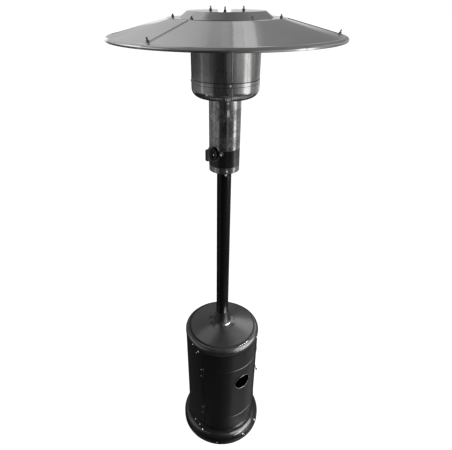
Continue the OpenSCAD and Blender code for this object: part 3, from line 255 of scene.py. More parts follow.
# Where a coat is grimy: grooves lie between two heights and rings between two radii, stains gather in patches
# between two radii, and shaded places lie behind the axis and beyond a radius
def grimeMasks(tree, look):
    masks = []
    for group, places in ((heightGroup, look["grooves"]), (ringGroup, look["rings"])):
        masks += [useGroup(tree, group, Low=low, High=high, Soft=look["grooveSoft"]) for low, high in places]
    if "stains" in look:
        inner, outer, scale = look["stains"]
        stained = mapRange(tree, noiseNode(tree, objectPlace(tree), scale, Detail=3), 0.42, 0.56, 0.0, 0.85)
        ring = useGroup(tree, ringGroup, Low=inner, High=outer, Soft=look["stainSoft"])
        masks.append(times(tree, stained, ring))
    if "shaded" in look:
        start, full, inner = look["shaded"]
        behind = mapRange(tree, splitParts(tree, objectPlace(tree))["Y"], start, full)
        ring = useGroup(tree, ringGroup, Low=inner, High=1.0, Soft=look["shadeSoft"])
        masks.append(times(tree, behind, ring))
    return masks


# A sprayed coat: dark pigment, orange peel, dust on top faces that on the lid is also painted sheen, bare metal along
# worn edges, and no gloss in its grime.
# "crisp" gives two radii between which the gloss is sharper, and "flare" tilts the gloss below a height
def coatMaterial(name, look):
    material, tree, shader = newMaterial(name)
    shader.inputs["Specular IOR Level"].default_value = look["specular"]
    shader.inputs["Coat Weight"].default_value = look["coat"]
    shader.inputs["Coat Roughness"].default_value = look["coatRoughness"]
    smudge = smudges(tree, look)
    dustAndSheen = useGroup(tree, dustAndSheenGroup, Amount=look["dustAndSheen"], Scale=look["dustAndSheenScale"])
    wear = useGroup(tree, wearGroup, Radius=look["wearRadius"], Amount=look["wear"])
    base = mixColour(tree, mapRange(tree, smudge, 0.3, 0.7), grey(look["colour"] * 0.8), grey(look["colour"] * 1.25))
    # Dust, and on the lid painted sheen, lighten the colour of faces that look up
    dustAndSheenColoured = mixColour(tree, dustAndSheen, base, grey(look["dustAndSheenColour"]))
    link(tree, mixColour(tree, wear, dustAndSheenColoured, grey(look["bareMetal"])), shader.inputs["Base Color"])
    rough = mapRange(tree, smudge, 0.25, 0.75, look["roughness"] - 0.05, look["roughness"] + 0.07)
    rough = plus(tree, rough, times(tree, dustAndSheen, look["dustAndSheenRough"]), clamp=True)
    if "crisp" in look:
        inner, outer, sharp = look["crisp"]
        ring = useGroup(tree, ringGroup, Low=inner, High=outer, Soft=look["crispSoft"])
        link(tree, mapRange(tree, ring, 0.0, 1.0, look["coatRoughness"], sharp), shader.inputs["Coat Roughness"])
    masks = grimeMasks(tree, look)
    if masks:
        grime = greatest(tree, masks)
        link(tree, times(tree, minus(tree, 1.0, grime), look["coat"]), shader.inputs["Coat Weight"])
        rough = mathNode(tree, "MAXIMUM", rough, grime)
    link(tree, rough, shader.inputs["Roughness"])
    tilt = None
    if "flare" in look:
        top, bend = look["flare"]
        tilt = bumpNode(tree, useGroup(tree, flareGroup, Top=top, Bend=bend), 1.0, 1.0)
    peel = bumpNode(tree, useGroup(tree, grainGroup, Scale=look["peelScale"]), look["peel"], look["peelDepth"], tilt)
    link(tree, peel, shader.inputs["Normal"])
    link(tree, peel, shader.inputs["Coat Normal"])
    return material


# What all metals share; most have no stretched grain and no waves
metalLook = {"metallic": 1.0, "stretch": (1.0, 1.0, 1.0), "waveScale": 20.0, "wave": 0.0, "waveStretch": 0.25,
             "waveDepth": 0.002, "fineDepth": 0.0003, "lines": (), "lineSoft": 0.0004, "punchSoft": 0.0015,
             "punchShade": 0.02, "punchRough": 0.1, "punchBump": 0.5, "punchDepth": 0.0006}


# Rolled or brushed sheet: metal with fine lines, smudges and heat-dulled patches. "lines" are dark bands between two
# heights, painted shade along the seams, and "punched" gives the bands with rows of small holes, painted dark as their
# shade
def metalMaterial(name, look):
    material, tree, shader = newMaterial(name)
    shader.inputs["Metallic"].default_value = look["metallic"]
    smudge = smudges(tree, look)
    alongX, alongY, alongZ = look["stretch"]
    fine = useGroup(tree, grainGroup, Scale=look["grainScale"], StretchX=alongX, StretchY=alongY, StretchZ=alongZ)
    base = mixColour(tree, mapRange(tree, smudge, 0.34, 0.66), look["dark"], look["light"])
    speck = mapRange(tree, fine, 0.3, 0.7, 1.0 - look["grainContrast"], 1.0 + look["grainContrast"])
    colour = addNode(tree, "ShaderNodeVectorMath", {0: base, "Scale": speck}, operation="SCALE").outputs[0]
    rough = mapRange(tree, smudge, 0.3, 0.7, look["roughness"][1], look["roughness"][0])
    rough = plus(tree, rough, mapRange(tree, fine, 0.3, 0.7, -0.02, 0.03), clamp=True)
    wave = useGroup(tree, grainGroup, Scale=look["waveScale"], StretchZ=look["waveStretch"])
    normal = bumpNode(tree, wave, look["wave"], look["waveDepth"])
    normal = bumpNode(tree, fine, look["bump"], look["fineDepth"], normal)
    # Painted shade along the seams: each line darkens the colour between two heights
    for low, high, shade in look["lines"]:
        line = useGroup(tree, heightGroup, Low=low, High=high, Soft=look["lineSoft"])
        colour = mixColour(tree, line, colour, grey(shade))
    # Painted shade inside the punched holes: the colour darkens to punchShade in each hole
    if "punched" in look:
        holes = useGroup(tree, punchGroup, Pitch=look["pitch"], HoleShare=look["holeShare"])
        bands = greatest(tree, [useGroup(tree, heightGroup, Low=low, High=high, Soft=look["punchSoft"])
                                for low, high in look["punched"]])
        punched = times(tree, holes, bands)
        colour = mixColour(tree, punched, colour, grey(look["punchShade"]))
        rough = plus(tree, rough, times(tree, bands, look["punchRough"]), clamp=True)
        normal = bumpNode(tree, punched, look["punchBump"], look["punchDepth"], normal, invert=True)
    link(tree, colour, shader.inputs["Base Color"])
    link(tree, rough, shader.inputs["Roughness"])
    link(tree, normal, shader.inputs["Normal"])
    return material


plasticLook = {"patchScale": 40.0, "streakScale": 120.0, "streakShare": 0.2, "wearRadius": 0.0008,
               "grainScale": 1400.0, "grain": 0.15, "grainDepth": 0.0002}


# Moulded plastic: fine matt grain and handling marks
def plasticMaterial(name, look):
    material, tree, shader = newMaterial(name)
    shader.inputs["Specular IOR Level"].default_value = look["specular"]
    smudge = smudges(tree, look)
    wear = useGroup(tree, wearGroup, Radius=look["wearRadius"], Amount=look["wear"])
    base = mixColour(tree, smudge, grey(look["colour"] * 0.8), grey(look["colour"] * 1.3))
    link(tree, mixColour(tree, wear, base, grey(look["wornColour"])), shader.inputs["Base Color"])
    rough = mapRange(tree, smudge, 0.3, 0.7, look["roughness"] - 0.06, look["roughness"] + 0.08)
    link(tree, rough, shader.inputs["Roughness"])
    grain = useGroup(tree, grainGroup, Scale=look["grainScale"])
    link(tree, bumpNode(tree, grain, look["grain"], look["grainDepth"]), shader.inputs["Normal"])
    return material


print("scene: materials")
# Black powder coat, and how the coat of each large part differs from it
glossBlack = dict(colour=0.0025, specular=0.2, coat=0.45, coatRoughness=0.07, roughness=0.34, patchScale=7.0, dustAndSheen=0.02,
                  dustAndSheenColour=0.06, wear=0.12, peelScale=520.0, peel=0.10)
coats = {
    "baseCoat": dict(glossBlack, grooves=((0.0, 0.0030),), rings=((0.1870, 0.1956),)),
    "housingCoat": glossBlack,
    "postCoat": dict(glossBlack, colour=0.0018, specular=0.08, flare=(0.95, 1.6)),
    "shellCoat": dict(glossBlack, grooves=((0.7020, 0.7138), (0.0590, 0.0745)), flare=(0.112, 5.2)),
    # The lid's heavier dust is partly painted sheen: it lightens the colour of the faces that look up
    "lidCoat": dict(glossBlack, colour=0.007, specular=0.3, coat=0.5, coatRoughness=0.2, roughness=0.36, dustAndSheen=0.08,
                    dustAndSheenColour=0.08, peel=0.08, grooves=((0.7120, 0.7165),), rings=((0.1630, 0.1722),),
                    stains=(0.030, 0.078, 38.0), crisp=(0.170, 0.30, 0.09), shaded=(0.0, 0.08, 0.172)),
    "frameCoat": dict(colour=0.02, specular=0.45, coat=0.0, coatRoughness=0.3, roughness=0.45, patchScale=9.0, dustAndSheen=0.25,
                      dustAndSheenColour=0.15, wear=0.3, peelScale=420.0, peel=0.2),
    "panelCoat": dict(colour=0.003, specular=0.5, coat=0.5, coatRoughness=0.06, roughness=0.3, patchScale=18.0, dustAndSheen=0.02,
                      dustAndSheenColour=0.1, wear=0.1, peelScale=900.0, peel=0.05),
}

# Polished tube with fine lines, plated screw heads, the dark metal of painted seam shade and of the hole's rim, and
# plated bolts: what their finishes share
brushedTube = dict(dark=(0.42, 0.42, 0.425), light=(0.68, 0.68, 0.685), patchScale=16.0, streakScale=90.0,
                   streakShare=0.45, grainScale=900.0, stretch=(1.0, 1.0, 0.05), grainContrast=0.14,
                   roughness=(0.06, 0.15), bump=0.06, waveScale=45.0, wave=0.05)
platedHead = dict(dark=(0.80, 0.80, 0.80), light=(0.95, 0.95, 0.95), patchScale=200.0, streakScale=300.0, streakShare=0.1,
                  grainScale=2500.0, grainContrast=0.05, roughness=(0.16, 0.26), bump=0.03, metallic=0.5)
seamShadeAndRim = dict(dark=(0.10, 0.10, 0.10), light=(0.2, 0.2, 0.2), patchScale=60.0, streakScale=150.0, streakShare=0.3,
                grainScale=900.0, grainContrast=0.1, roughness=(0.2, 0.35), bump=0.05)
platedBolt = dict(dark=(0.62, 0.62, 0.63), light=(0.85, 0.85, 0.86), patchScale=120.0, streakScale=200.0, streakShare=0.1,
                  grainScale=2000.0, grainContrast=0.08, roughness=(0.14, 0.28), bump=0.05)
metals = {
    "stainlessSheet": brushedTube,
    # The bowl's and the screen's dark lines are painted shade at their seams
    "bowlSheet": dict(brushedTube, light=(0.70, 0.70, 0.705), patchScale=14.0, grainContrast=0.16, roughness=(0.05, 0.14),
                      waveScale=38.0, wave=0.06, lines=((1.9474, 1.9492, 0.16), (1.9600, 1.9615, 0.10))),
    "screenSheet": dict(dark=(0.36, 0.355, 0.35), light=(0.66, 0.655, 0.65), patchScale=11.0, streakScale=70.0,
                        streakShare=0.55, grainScale=800.0, stretch=(1.0, 1.0, 0.08), grainContrast=0.22,
                        roughness=(0.06, 0.18), bump=0.08, waveScale=30.0, wave=0.07, lines=((1.9610, 1.9630, 0.10),)),
    "sleeveSheet": dict(dark=(0.25, 0.25, 0.255), light=(0.84, 0.84, 0.845), patchScale=34.0, streakScale=130.0,
                        streakShare=0.4, grainScale=700.0, stretch=(1.0, 1.0, 0.3), grainContrast=0.42,
                        roughness=(0.03, 0.13), bump=0.14, waveScale=60.0, wave=0.08,
                        punched=((1.819, 1.861), (1.7195, 1.758)), pitch=0.0042, holeShare=0.30),
    "dullSheet": dict(dark=(0.12, 0.12, 0.122), light=(0.34, 0.34, 0.345), patchScale=60.0, streakScale=150.0,
                      streakShare=0.3, grainScale=600.0, grainContrast=0.35, roughness=(0.28, 0.45), bump=0.2,
                      waveScale=60.0, wave=0.08, punched=((1.645, 1.704),), pitch=0.0042, holeShare=0.30),
    "screwPlate": platedHead,
    # Near-white and nearly matt: painted glints on the slot lips and the base's rim screws, and the knob's white dot
    "brightPlate": dict(platedHead, dark=(0.85, 0.85, 0.85), light=(0.97, 0.97, 0.97), roughness=(0.2, 0.3),
                        metallic=0.15),
    # Dark metal of the painted seam shade
    "seamInk": seamShadeAndRim,
    "rimInk": dict(seamShadeAndRim, light=(0.17, 0.17, 0.17), roughness=(0.42, 0.5), metallic=0.7),
    "reflectorSheet": dict(dark=(0.64, 0.64, 0.645), light=(0.72, 0.72, 0.725), patchScale=4.0, streakScale=30.0,
                           streakShare=0.1, grainScale=900.0, grainContrast=0.03, roughness=(0.03, 0.06), bump=0.01,
                           waveScale=8.0, wave=0.2),
    "zincPlate": platedBolt,
    "boltSteel": dict(platedBolt, dark=(0.16, 0.16, 0.165), light=(0.34, 0.34, 0.345), patchScale=90.0,
                      roughness=(0.05, 0.12), bump=0.04),
    "burnerSteel": dict(dark=(0.22, 0.2, 0.19), light=(0.5, 0.49, 0.48), patchScale=22.0, streakScale=60.0,
                        streakShare=0.2, grainScale=800.0, grainContrast=0.1, roughness=(0.3, 0.5), bump=0.1),
    "gasBrass": dict(dark=(0.5, 0.38, 0.17), light=(0.75, 0.6, 0.32), patchScale=60.0, streakScale=120.0,
                     streakShare=0.2, grainScale=1500.0, grainContrast=0.06, roughness=(0.2, 0.34), bump=0.05),
}
plastics = {
    "dialWhite": dict(colour=0.12, specular=0.4, roughness=0.45, wear=0.2, wornColour=0.06),
    "knobPlastic": dict(colour=0.012, specular=0.5, roughness=0.32, wear=0.2, wornColour=0.05),
    "switchPlastic": dict(colour=0.6, specular=0.4, roughness=0.5, wear=0.1, wornColour=0.7),
    "glazedCeramic": dict(colour=0.72, specular=0.5, roughness=0.18, wear=0.0, wornColour=0.7),
}
materials = {}
for makeMaterial, shared, looks in (
        (coatMaterial, coatLook, coats), (metalMaterial, metalLook, metals), (plasticMaterial, plasticLook, plastics)):
    for name, look in looks.items():
        materials[name] = makeMaterial(name, {**shared, **look})

finishOf = {
    "black_coat": "housingCoat", "frame_coat": "frameCoat", "plated_steel": "zincPlate", "stainless": "stainlessSheet",
    "burner_steel": "burnerSteel", "brass": "gasBrass", "panel_black": "panelCoat", "knob_plastic": "knobPlastic",
    "switch_plastic": "switchPlastic", "ceramic": "glazedCeramic", "reflector_sheet": "reflectorSheet",
}
# Nodes whose finish differs from that of their slot
finishAt = {
    "housing_cover": "lidCoat", "base_pan": "baseCoat", "post_tube": "postCoat", "housing_shell": "shellCoat",
    "door_panel": "shellCoat", "burner_bowl": "bowlSheet", "emitter_screen": "screenSheet",
    "column_upper_sleeve": "sleeveSheet", "column_lower_sleeve": "dullSheet", "base_screws": "housingCoat",
}
for node in ("column_screws", "bowl_screws", "post_top_bolts", "cover_screws"):
    finishAt[node] = "screwPlate"
for node in ("reflector_bolts", "reflector_nuts", "stud_nuts"):
    finishAt[node] = "boltSteel"
for part in frame["record"]["subparts"]:
    mesh = nodes[part["node"]].data
    mesh.materials.clear()
    mesh.materials.append(materials[finishAt.get(part["node"], finishOf[part["material_slot"]])])

print("scene: added pieces")


# Rows of points become one closed skin. A ring joins its last row to its first; else a point closes each end
def skin(rows, ring):
    count, width = rows.shape[:2]
    row, column = np.meshgrid(np.arange(count if ring else count - 1), np.arange(width), indexing="ij")
    here, following, beside = row * width, (row + 1) % count * width, (column + 1) % width
    quads = np.stack([here + column, here + beside, following + beside, following + column], -1).reshape(-1, 4)
    points = rows.reshape(-1, 3)
    corners = np.concatenate([quads[:, :3], quads[:, [0, 2, 3]]])
    caps = np.zeros((0, 3), int)
    if not ring:
        points = np.concatenate([points, rows[0].mean(0)[None], rows[-1].mean(0)[None]])
        near, last, j = count * width, (count - 1) * width, np.arange(width)
        caps = np.concatenate([np.stack([np.full(width, near), (j + 1) % width, j], -1),
                               np.stack([np.full(width, near + 1), last + j, last + (j + 1) % width], -1)])
        corners = np.concatenate([corners, caps])
    a, b, c = (points[corners[:, k]] for k in range(3))
    if np.einsum("ij,ij->", a, np.cross(b, c)) < 0:
        quads, caps = quads[:, ::-1], caps[:, ::-1]
    return points, quads, caps


# One smooth mesh from several skins; it rides on a body and takes a finish
def addPiece(name, skins, look):
    points, faces, start = [], [], 0
    for skinPoints, quads, caps in skins:
        points.append(skinPoints)
        faces += (quads + start).tolist() + (caps + start).tolist()
        start += len(skinPoints)
    mesh = bpy.data.meshes.new(name)
    mesh.from_pydata(np.concatenate(points).tolist(), [], faces)
    mesh.polygons.foreach_set("use_smooth", np.ones(len(faces), bool))
    mesh.materials.append(materials[look["finish"]])
    piece = bpy.data.objects.new(name, mesh)
    scene.collection.objects.link(piece)
    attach(piece, look["body"])
    return piece


# The outward and sideways directions at an azimuth in degrees
def outAt(azimuth):
    angle = np.radians(azimuth)
    return np.stack([np.sin(angle), -np.cos(angle), np.zeros_like(angle)], -1)


def sideAt(azimuth):
    angle = np.radians(azimuth)
    return np.stack([np.cos(angle), np.sin(angle), np.zeros_like(angle)], -1)


upward = np.array([0.0, 0.0, 1.0])


def fullTurn(steps):
    return np.linspace(0, 2 * np.pi, steps, endpoint=False)


# Round bead: a circle of radius t carried along a path, point = path + t (cos v first + sin v second)
def bead(path, first, second, thick, ring=True):
    turn = fullTurn(12)[None, :, None]
    thick = np.broadcast_to(np.asarray(thick, float), path.shape[:1])[:, None, None]
    rows = path[:, None, :] + thick * (np.cos(turn) * first[:, None, :] + np.sin(turn) * second[:, None, :])
    return skin(rows, ring)


# Hoop round the axis: a bead whose path is a circle of the given radius at one height
def hoop(radius, height, thick, steps=180):
    out = outAt(np.linspace(0, 360, steps, endpoint=False))
    return bead(out * radius + upward * height, out, np.broadcast_to(upward, out.shape), thick)


# Painted highlight on a rim: a bright bead on an arc whose thickness swells as sin(pi share), flattened along the
# edge's lean
def makeHighlightArc(look):
    share = np.linspace(0.02, 0.98, 48)
    out = outAt(look["from"] + (look["to"] - look["from"]) * share)
    lean, across = (out + upward) / math.sqrt(2), (out - upward) / math.sqrt(2)
    swell = look["thick"] * np.sin(np.pi * share)
    return bead(out * look["radius"] + upward * look["height"], lean * look["flat"], across, swell, ring=False)


# Painted highlight on the foot of the lid's neck at the front right
neckHighlightLook = {"radius": 0.0475, "height": 0.7768, "from": 6.0, "to": 68.0, "thick": 0.0030, "flat": 0.35,
               "body": "heater", "slot": "plated_steel", "finish": "screwPlate"}
addPiece("neckHighlight", [makeHighlightArc(neckHighlightLook)], neckHighlightLook)

# Beads rolled into the column's upper sleeve
sleeveBeadLook = {"rings": ((0.0611, 1.8255, 0.0004), (0.0611, 1.7485, 0.0004)), "body": "heater", "slot": "stainless",
                  "finish": "stainlessSheet"}
addPiece("sleeveBeads", [hoop(*ring) for ring in sleeveBeadLook["rings"]], sleeveBeadLook)

# Painted shade at the seams of the bowl's rim and under it: dark beads
bowlShadeBeadLook = {"rings": ((0.1240, 1.9618, 0.0009), (0.1243, 1.9482, 0.0005)), "body": "heater", "slot": "stainless",
                "finish": "seamInk"}
addPiece("bowlShadeBeads", [hoop(*ring, steps=240) for ring in bowlShadeBeadLook["rings"]], bowlShadeBeadLook)


# Path on a tube of radius r round a centre at an azimuth: sideways s turns by s / r, upwards adds to the height
def onTube(look, azimuth, sideways, upwards):
    place = azimuth + np.degrees(sideways / look["radius"])
    path = outAt(place) * look["radius"] + upward * (look["height"] + upwards)[:, None]
    return path, outAt(place), sideAt(place)


# A bead on a closed loop on a tube, a circle drawn out upwards by a straight length at each side
def loopOnTube(look, azimuth, radius, straight, steps):
    turn = fullTurn(steps)
    upwards = radius * np.sin(turn) + straight * np.sign(np.sin(turn))
    path, out, side = onTube(look, azimuth, radius * np.cos(turn), upwards)
    away = side * np.cos(turn)[:, None] + upward * np.sin(turn)[:, None]
    return bead(path, out, away, look["thick"])


# Rolled edge of the hand hole: a bead whose path is a circle wrapped onto the door
holeBeadLook = {"radius": 0.1922, "azimuth": 36.0, "height": 0.477, "hole": 0.0458, "thick": 0.0013, "body": "door",
                "slot": "black_coat", "finish": "rimInk"}
addPiece("holeBead", [loopOnTube(holeBeadLook, holeBeadLook["azimuth"], holeBeadLook["hole"], 0.0, 96)], holeBeadLook)

# Pressed lips of the air slots: a bead on a racetrack, two straight sides joined by half circles. A louvre stands in
# each slot: an ellipse drawn upwards, its width and rise shrinking to the ends with sqrt(1 - share^4)
# Their near-white finish is a painted glint
slotLipLook = {"radius": 0.0611, "azimuths": (11.5, 131.5, 251.5), "height": 1.8475, "straight": 0.009, "round": 0.0030,
               "thick": 0.0006, "louvre": 0.0012, "louvreSunk": 0.0009, "louvreHalf": 1.05 * 0.009, "body": "heater",
               "slot": "stainless", "finish": "brightPlate"}


def makeLouvre(look, azimuth):
    share = np.linspace(-0.99, 0.99, 24)
    swell = np.sqrt(1 - share ** 4)[:, None]
    turn = fullTurn(20)[None, :]
    place = azimuth + np.degrees(look["louvre"] * swell * np.cos(turn) / look["radius"])
    rows = outAt(place) * (look["radius"] - look["louvreSunk"] + look["louvre"] * swell * np.sin(turn))[..., None]
    return skin(rows + upward * (look["height"] + look["louvreHalf"] * share)[:, None, None], False)


slotLips = []
for azimuth in slotLipLook["azimuths"]:
    slotLips.append(loopOnTube(slotLipLook, azimuth, slotLipLook["round"], slotLipLook["straight"], 64))
    slotLips.append(makeLouvre(slotLipLook, azimuth))
addPiece("slotLips", slotLips, slotLipLook)

# Rolled bead round the lid's disc, outside its groove
lidBeadLook = {"ring": (0.1734, 0.7376, 0.0014), "body": "heater", "slot": "black_coat", "finish": "lidCoat"}
addPiece("lidBead", [hoop(*lidBeadLook["ring"], steps=240)], lidBeadLook)

# Painted highlight along the top of that bead at the front right
lidHighlightLook = {**neckHighlightLook, "radius": 0.1738, "height": 0.7384, "from": 14.0, "to": 66.0, "thick": 0.0010, "flat": 0.5}
addPiece("lidHighlight", [makeHighlightArc(lidHighlightLook)], lidHighlightLook)

# Rolled foot of the shell, clear of the door: a cove whose offset is D (1 - sqrt(1 - u^2)) for u from the top to the
# foot, closed by a short return into the shell, and turned round the axis
footLook = {"radius": 0.1901, "top": 0.0874, "foot": 0.0672, "depth": 0.0072, "uFoot": 0.965, "into": 0.0004,
            "under": 0.0005, "body": "heater", "slot": "black_coat", "finish": "shellCoat"}


def makeShellFoot(look):
    u = np.linspace(0, look["uFoot"], 22)
    radius = look["radius"] + look["depth"] * (1 - np.sqrt(1 - u ** 2))
    height = look["top"] + (look["foot"] - look["top"]) * u / look["uFoot"]
    inner, under = look["radius"] - look["into"], look["foot"] - look["under"]
    radius = np.concatenate([radius, [radius[-1], inner, inner]])
    height = np.concatenate([height, [under, under, look["top"]]])
    out = outAt(np.linspace(0, 360, 240, endpoint=False))
    return skin(out[:, None, :] * radius[None, :, None] + upward * height[None, :, None], True)


addPiece("shellFoot", [makeShellFoot(footLook)], footLook)

# Lapped seams of the bowl and the screen: a strip whose cross-section is a flat ellipse on the tube, drawn upwards
seamLook = {"strips": ((0.1243, 10.2, 1.906, 1.9472), (0.1238, 9.9, 1.9628, 2.1165)), "half": 0.0018, "rise": 0.0005,
            "body": "heater", "slot": "stainless", "finish": "stainlessSheet"}


def makeSeam(look, radius, azimuth, low, high):
    turn = fullTurn(20)
    place = azimuth + np.degrees(look["half"] * np.cos(turn) / radius)
    section = outAt(place) * (radius + look["rise"] * np.sin(turn))[:, None]
    height = np.linspace(low, high, 40)
    return skin(section[None, :, :] + upward * height[:, None, None], False)


addPiece("lappedSeams", [makeSeam(seamLook, *strip) for strip in seamLook["strips"]], seamLook)

# Painted shade along each lap of the dish: a dark flat bead down the cone, height = top - slope (radius - ring)
lapShadeLook = {"azimuths": (-34.4, 85.6, 205.6), "ring": 0.2, "from": 0.204, "to": 0.386, "top": 2.1514, "slope": 48.5 / 190,
           "half": 0.0018, "flat": 0.15, "body": "heater", "slot": "plated_steel", "finish": "seamInk"}


def makeLapShadeLine(look, azimuth):
    radius = np.linspace(look["from"], look["to"], 60)
    out, side = outAt(np.full(60, azimuth)), sideAt(np.full(60, azimuth))
    path = out * radius[:, None] + upward * (look["top"] - look["slope"] * (radius - look["ring"]))[:, None]
    lean = (upward + look["slope"] * out) / math.hypot(1, look["slope"])
    return bead(path, lean * look["flat"], side, look["half"], ring=False)


addPiece("lapShadeLines", [makeLapShadeLine(lapShadeLook, azimuth) for azimuth in lapShadeLook["azimuths"]], lapShadeLook)

# Domed screw heads with a cross recess: height = H sqrt(1 - 0.92 (p / R)^2), less the recess where the place
# is within w of either arm of the cross, for p from the middle to the rim R; a flat underside closes it
headLook = {"dome": 0.92, "recess": 0.0012, "arm": 0.17, "armEdge": 14, "reach": 0.66, "reachEdge": 12, "under": 0.0002,
            "body": "heater", "slot": "plated_steel", "finish": "screwPlate"}


def makeScrewHead(look, radius, base, azimuth, height, lean=0.0):
    share, turn = np.linspace(0.04, 1, 14)[:, None], fullTurn(48)[None, :]
    across, upwards = share * np.cos(turn), share * np.sin(turn)
    arm = np.minimum(np.abs(across), np.abs(upwards))
    cross = np.clip((look["arm"] - arm) * look["armEdge"], 0, 1)
    cross = cross * np.clip((look["reach"] - share) * look["reachEdge"], 0, 1)
    rise = look["rise"] * np.sqrt(1 - look["dome"] * share ** 2) - look["recess"] * cross
    across, upwards = np.concatenate([across, across[-1:]]), np.concatenate([upwards, upwards[-1:]])
    rise = np.concatenate([rise, np.full((1, turn.size), -look["under"])])
    out, side = outAt(azimuth), sideAt(azimuth)
    facing = out * math.cos(math.radians(lean)) + upward * math.sin(math.radians(lean))
    place = out * base + upward * height + facing * rise[..., None] + side * (radius * across)[..., None]
    return skin(place + np.cross(side, facing) * (radius * upwards)[..., None], False)


# A set has one radius and distance from the axis, with a head at each azimuth and each height
screwLook = {**headLook, "rise": 0.0029, "sets": (
    (0.0036, 0.1915, (-50, 70, 190), (0.7165,)),
    (0.0038, 0.1901, (-38.3,), (0.692,)),
    (0.0024, 0.1901, (-42.2,), (0.6755,)),
    (0.0036, 0.0610, (10.3, 130.3, 250.3), (1.884, 1.6233)),
    (0.0036, 0.1242, (8, 98, 188, 278), (1.95485,)),
    (0.0043, 0.0300, (12.5, 132.5, 252.5), (1.595,)))}
addPiece("screwHeads", [makeScrewHead(screwLook, radius, base, azimuth, height)
                        for radius, base, azimuths, heights in screwLook["sets"]
                        for azimuth in azimuths for height in heights], screwLook)

# The base's two screws at the place where the photograph shows them; their near-white finish is a painted glint
rimScrewLook = {**headLook, "rise": 0.0034, "arm": 0.15, "finish": "brightPlate",
                "places": ((0.0052, 0.2214, 36.0, 0.039, 15.0), (0.0058, 0.2200, 66.0, 0.0425, 19.0))}
addPiece("rimScrews", [makeScrewHead(rimScrewLook, *place) for place in rimScrewLook["places"]], rimScrewLook)

# Screws that hold the shell down on the base, seen at the left of the seam, and the head of the foot's front screw
footScrewLook = {**headLook, "rise": 0.0026, "recess": 0.001,
                 "places": ((0.0034, 0.1906, -51.4, 0.0800, 12.0), (0.0034, 0.1922, -39.5, 0.0735, 30.0),
                            (0.0034, 0.2020, -31.0, 0.0645, 62.0), (0.0044, 0.2240, -5.0, 0.016, 0.0))}
addPiece("footScrews", [makeScrewHead(footScrewLook, *place) for place in footScrewLook["places"]], footScrewLook)

# Polished cap of the igniter's button: a dome, height = H (1 - (p / R)^2), on its round front
capLook = {"azimuth": -10.0, "base": 0.0748, "height": 1.695, "radius": 0.0032, "rise": 0.0010, "under": 0.0004,
           "body": "igniter_button", "slot": "plated_steel", "finish": "screwPlate"}


def makeCap(look, aside=0.0):
    share, turn = np.linspace(0.06, 1, 10)[:, None], fullTurn(40)[None, :]
    rise = np.concatenate([look["rise"] * (1 - share ** 2) + 0 * turn, np.full((1, turn.size), -look["under"])])
    share = np.concatenate([share, share[-1:]])
    out, side = outAt(look["azimuth"]), sideAt(look["azimuth"])
    rows = out * (look["base"] + rise[..., None]) + side * (look["radius"] * share * np.cos(turn) + aside)[..., None]
    return skin(rows + upward * (look["height"] + look["radius"] * share * np.sin(turn))[..., None], False)


addPiece("igniterCap", [makeCap(capLook)], capLook)

# Index dot on the knob's skirt: the same dome, set off to the side of the grip. Its white is also a painted highlight
dotLook = {**capLook, "azimuth": -46.0, "base": 0.0751, "height": 1.6930, "aside": 0.0170, "radius": 0.0028,
           "body": "knob", "slot": "knob_plastic", "finish": "brightPlate"}
addPiece("knobDot", [makeCap(dotLook, dotLook["aside"])], dotLook)

# Printed dial on the panel: a wedge and ticks round the knob. Each is a flat bead along an arc or a spoke of the
# knob's circle, wrapped onto the panel
dialLook = {"radius": 0.06225, "azimuth": -46.0, "height": 1.6905, "arc": 0.0300, "from": -20.0, "to": -125.0,
            "thin": 0.0003, "wide": 0.0013, "ticks": (-20.0, -55.0, -90.0, -125.0), "tick": (0.0285, 0.0335),
            "half": 0.0005, "rise": 0.00012, "body": "heater", "slot": "panel_black", "finish": "dialWhite"}


def makeDialStroke(look, reach, angle, half):
    path, out, side = onTube(look, look["azimuth"], reach * np.cos(angle), reach * np.sin(angle))
    step = np.gradient(path, axis=0)
    step /= np.linalg.norm(step, axis=1)[:, None]
    beside = np.cross(out, step)
    turn = fullTurn(8)[None, :, None]
    rows = path[:, None, :] + half[:, None, None] * np.cos(turn) * beside[:, None, :]
    return skin(rows + look["rise"] * np.sin(turn) * out[:, None, :], False)


def makeDial(look):
    angle = np.radians(np.linspace(look["from"], look["to"], 40))
    strokes = [makeDialStroke(look, look["arc"], angle, np.linspace(look["thin"], look["wide"], 40))]
    reach = np.linspace(*look["tick"], 6)
    return strokes + [makeDialStroke(look, reach, tick, np.full(6, look["half"])) for tick in np.radians(look["ticks"])]


addPiece("dialMarks", makeDial(dialLook), dialLook)

# Threads of the reflector's studs: radius = core + crest (1 + cos(turn - 2 pi height / pitch)) / 2 along each stud
threadLook = {"azimuths": (-4, 116, 236), "place": 0.065, "low": 2.1752, "high": 2.1830, "pitch": 0.0010,
              "crest": 0.0004, "core": 0.0026, "body": "heater", "slot": "plated_steel", "finish": "zincPlate"}


def makeThread(look, azimuth):
    height, turn = np.linspace(look["low"], look["high"], 90)[:, None], fullTurn(28)[None, :]
    radius = look["core"] + look["crest"] * (1 + np.cos(turn - 2 * np.pi * height / look["pitch"])) / 2
    around = np.stack([radius * np.cos(turn), radius * np.sin(turn), height + 0 * turn], -1)
    return skin(outAt(azimuth) * look["place"] + around, False)


addPiece("studThreads", [makeThread(threadLook, azimuth) for azimuth in threadLook["azimuths"]], threadLook)

print("scene: stage and lights")
stageLook = {"floorGrey": 0.5, "floorRoughness": 0.9, "floorWhite": 0.80, "floorHalf": 60.0, "plainLight": 0.55}

# Floor: a flat grid in x and y at z = 0; gloss looks past it into the studio below
floorMesh = bpy.data.meshes.new("floor")
half = stageLook["floorHalf"]
floorMesh.from_pydata([(-half, -half, 0), (half, -half, 0), (half, half, 0), (-half, half, 0)], [], [(0, 1, 2, 3)])
floor = bpy.data.objects.new("floor", floorMesh)
floor.visible_glossy = False
scene.collection.objects.link(floor)


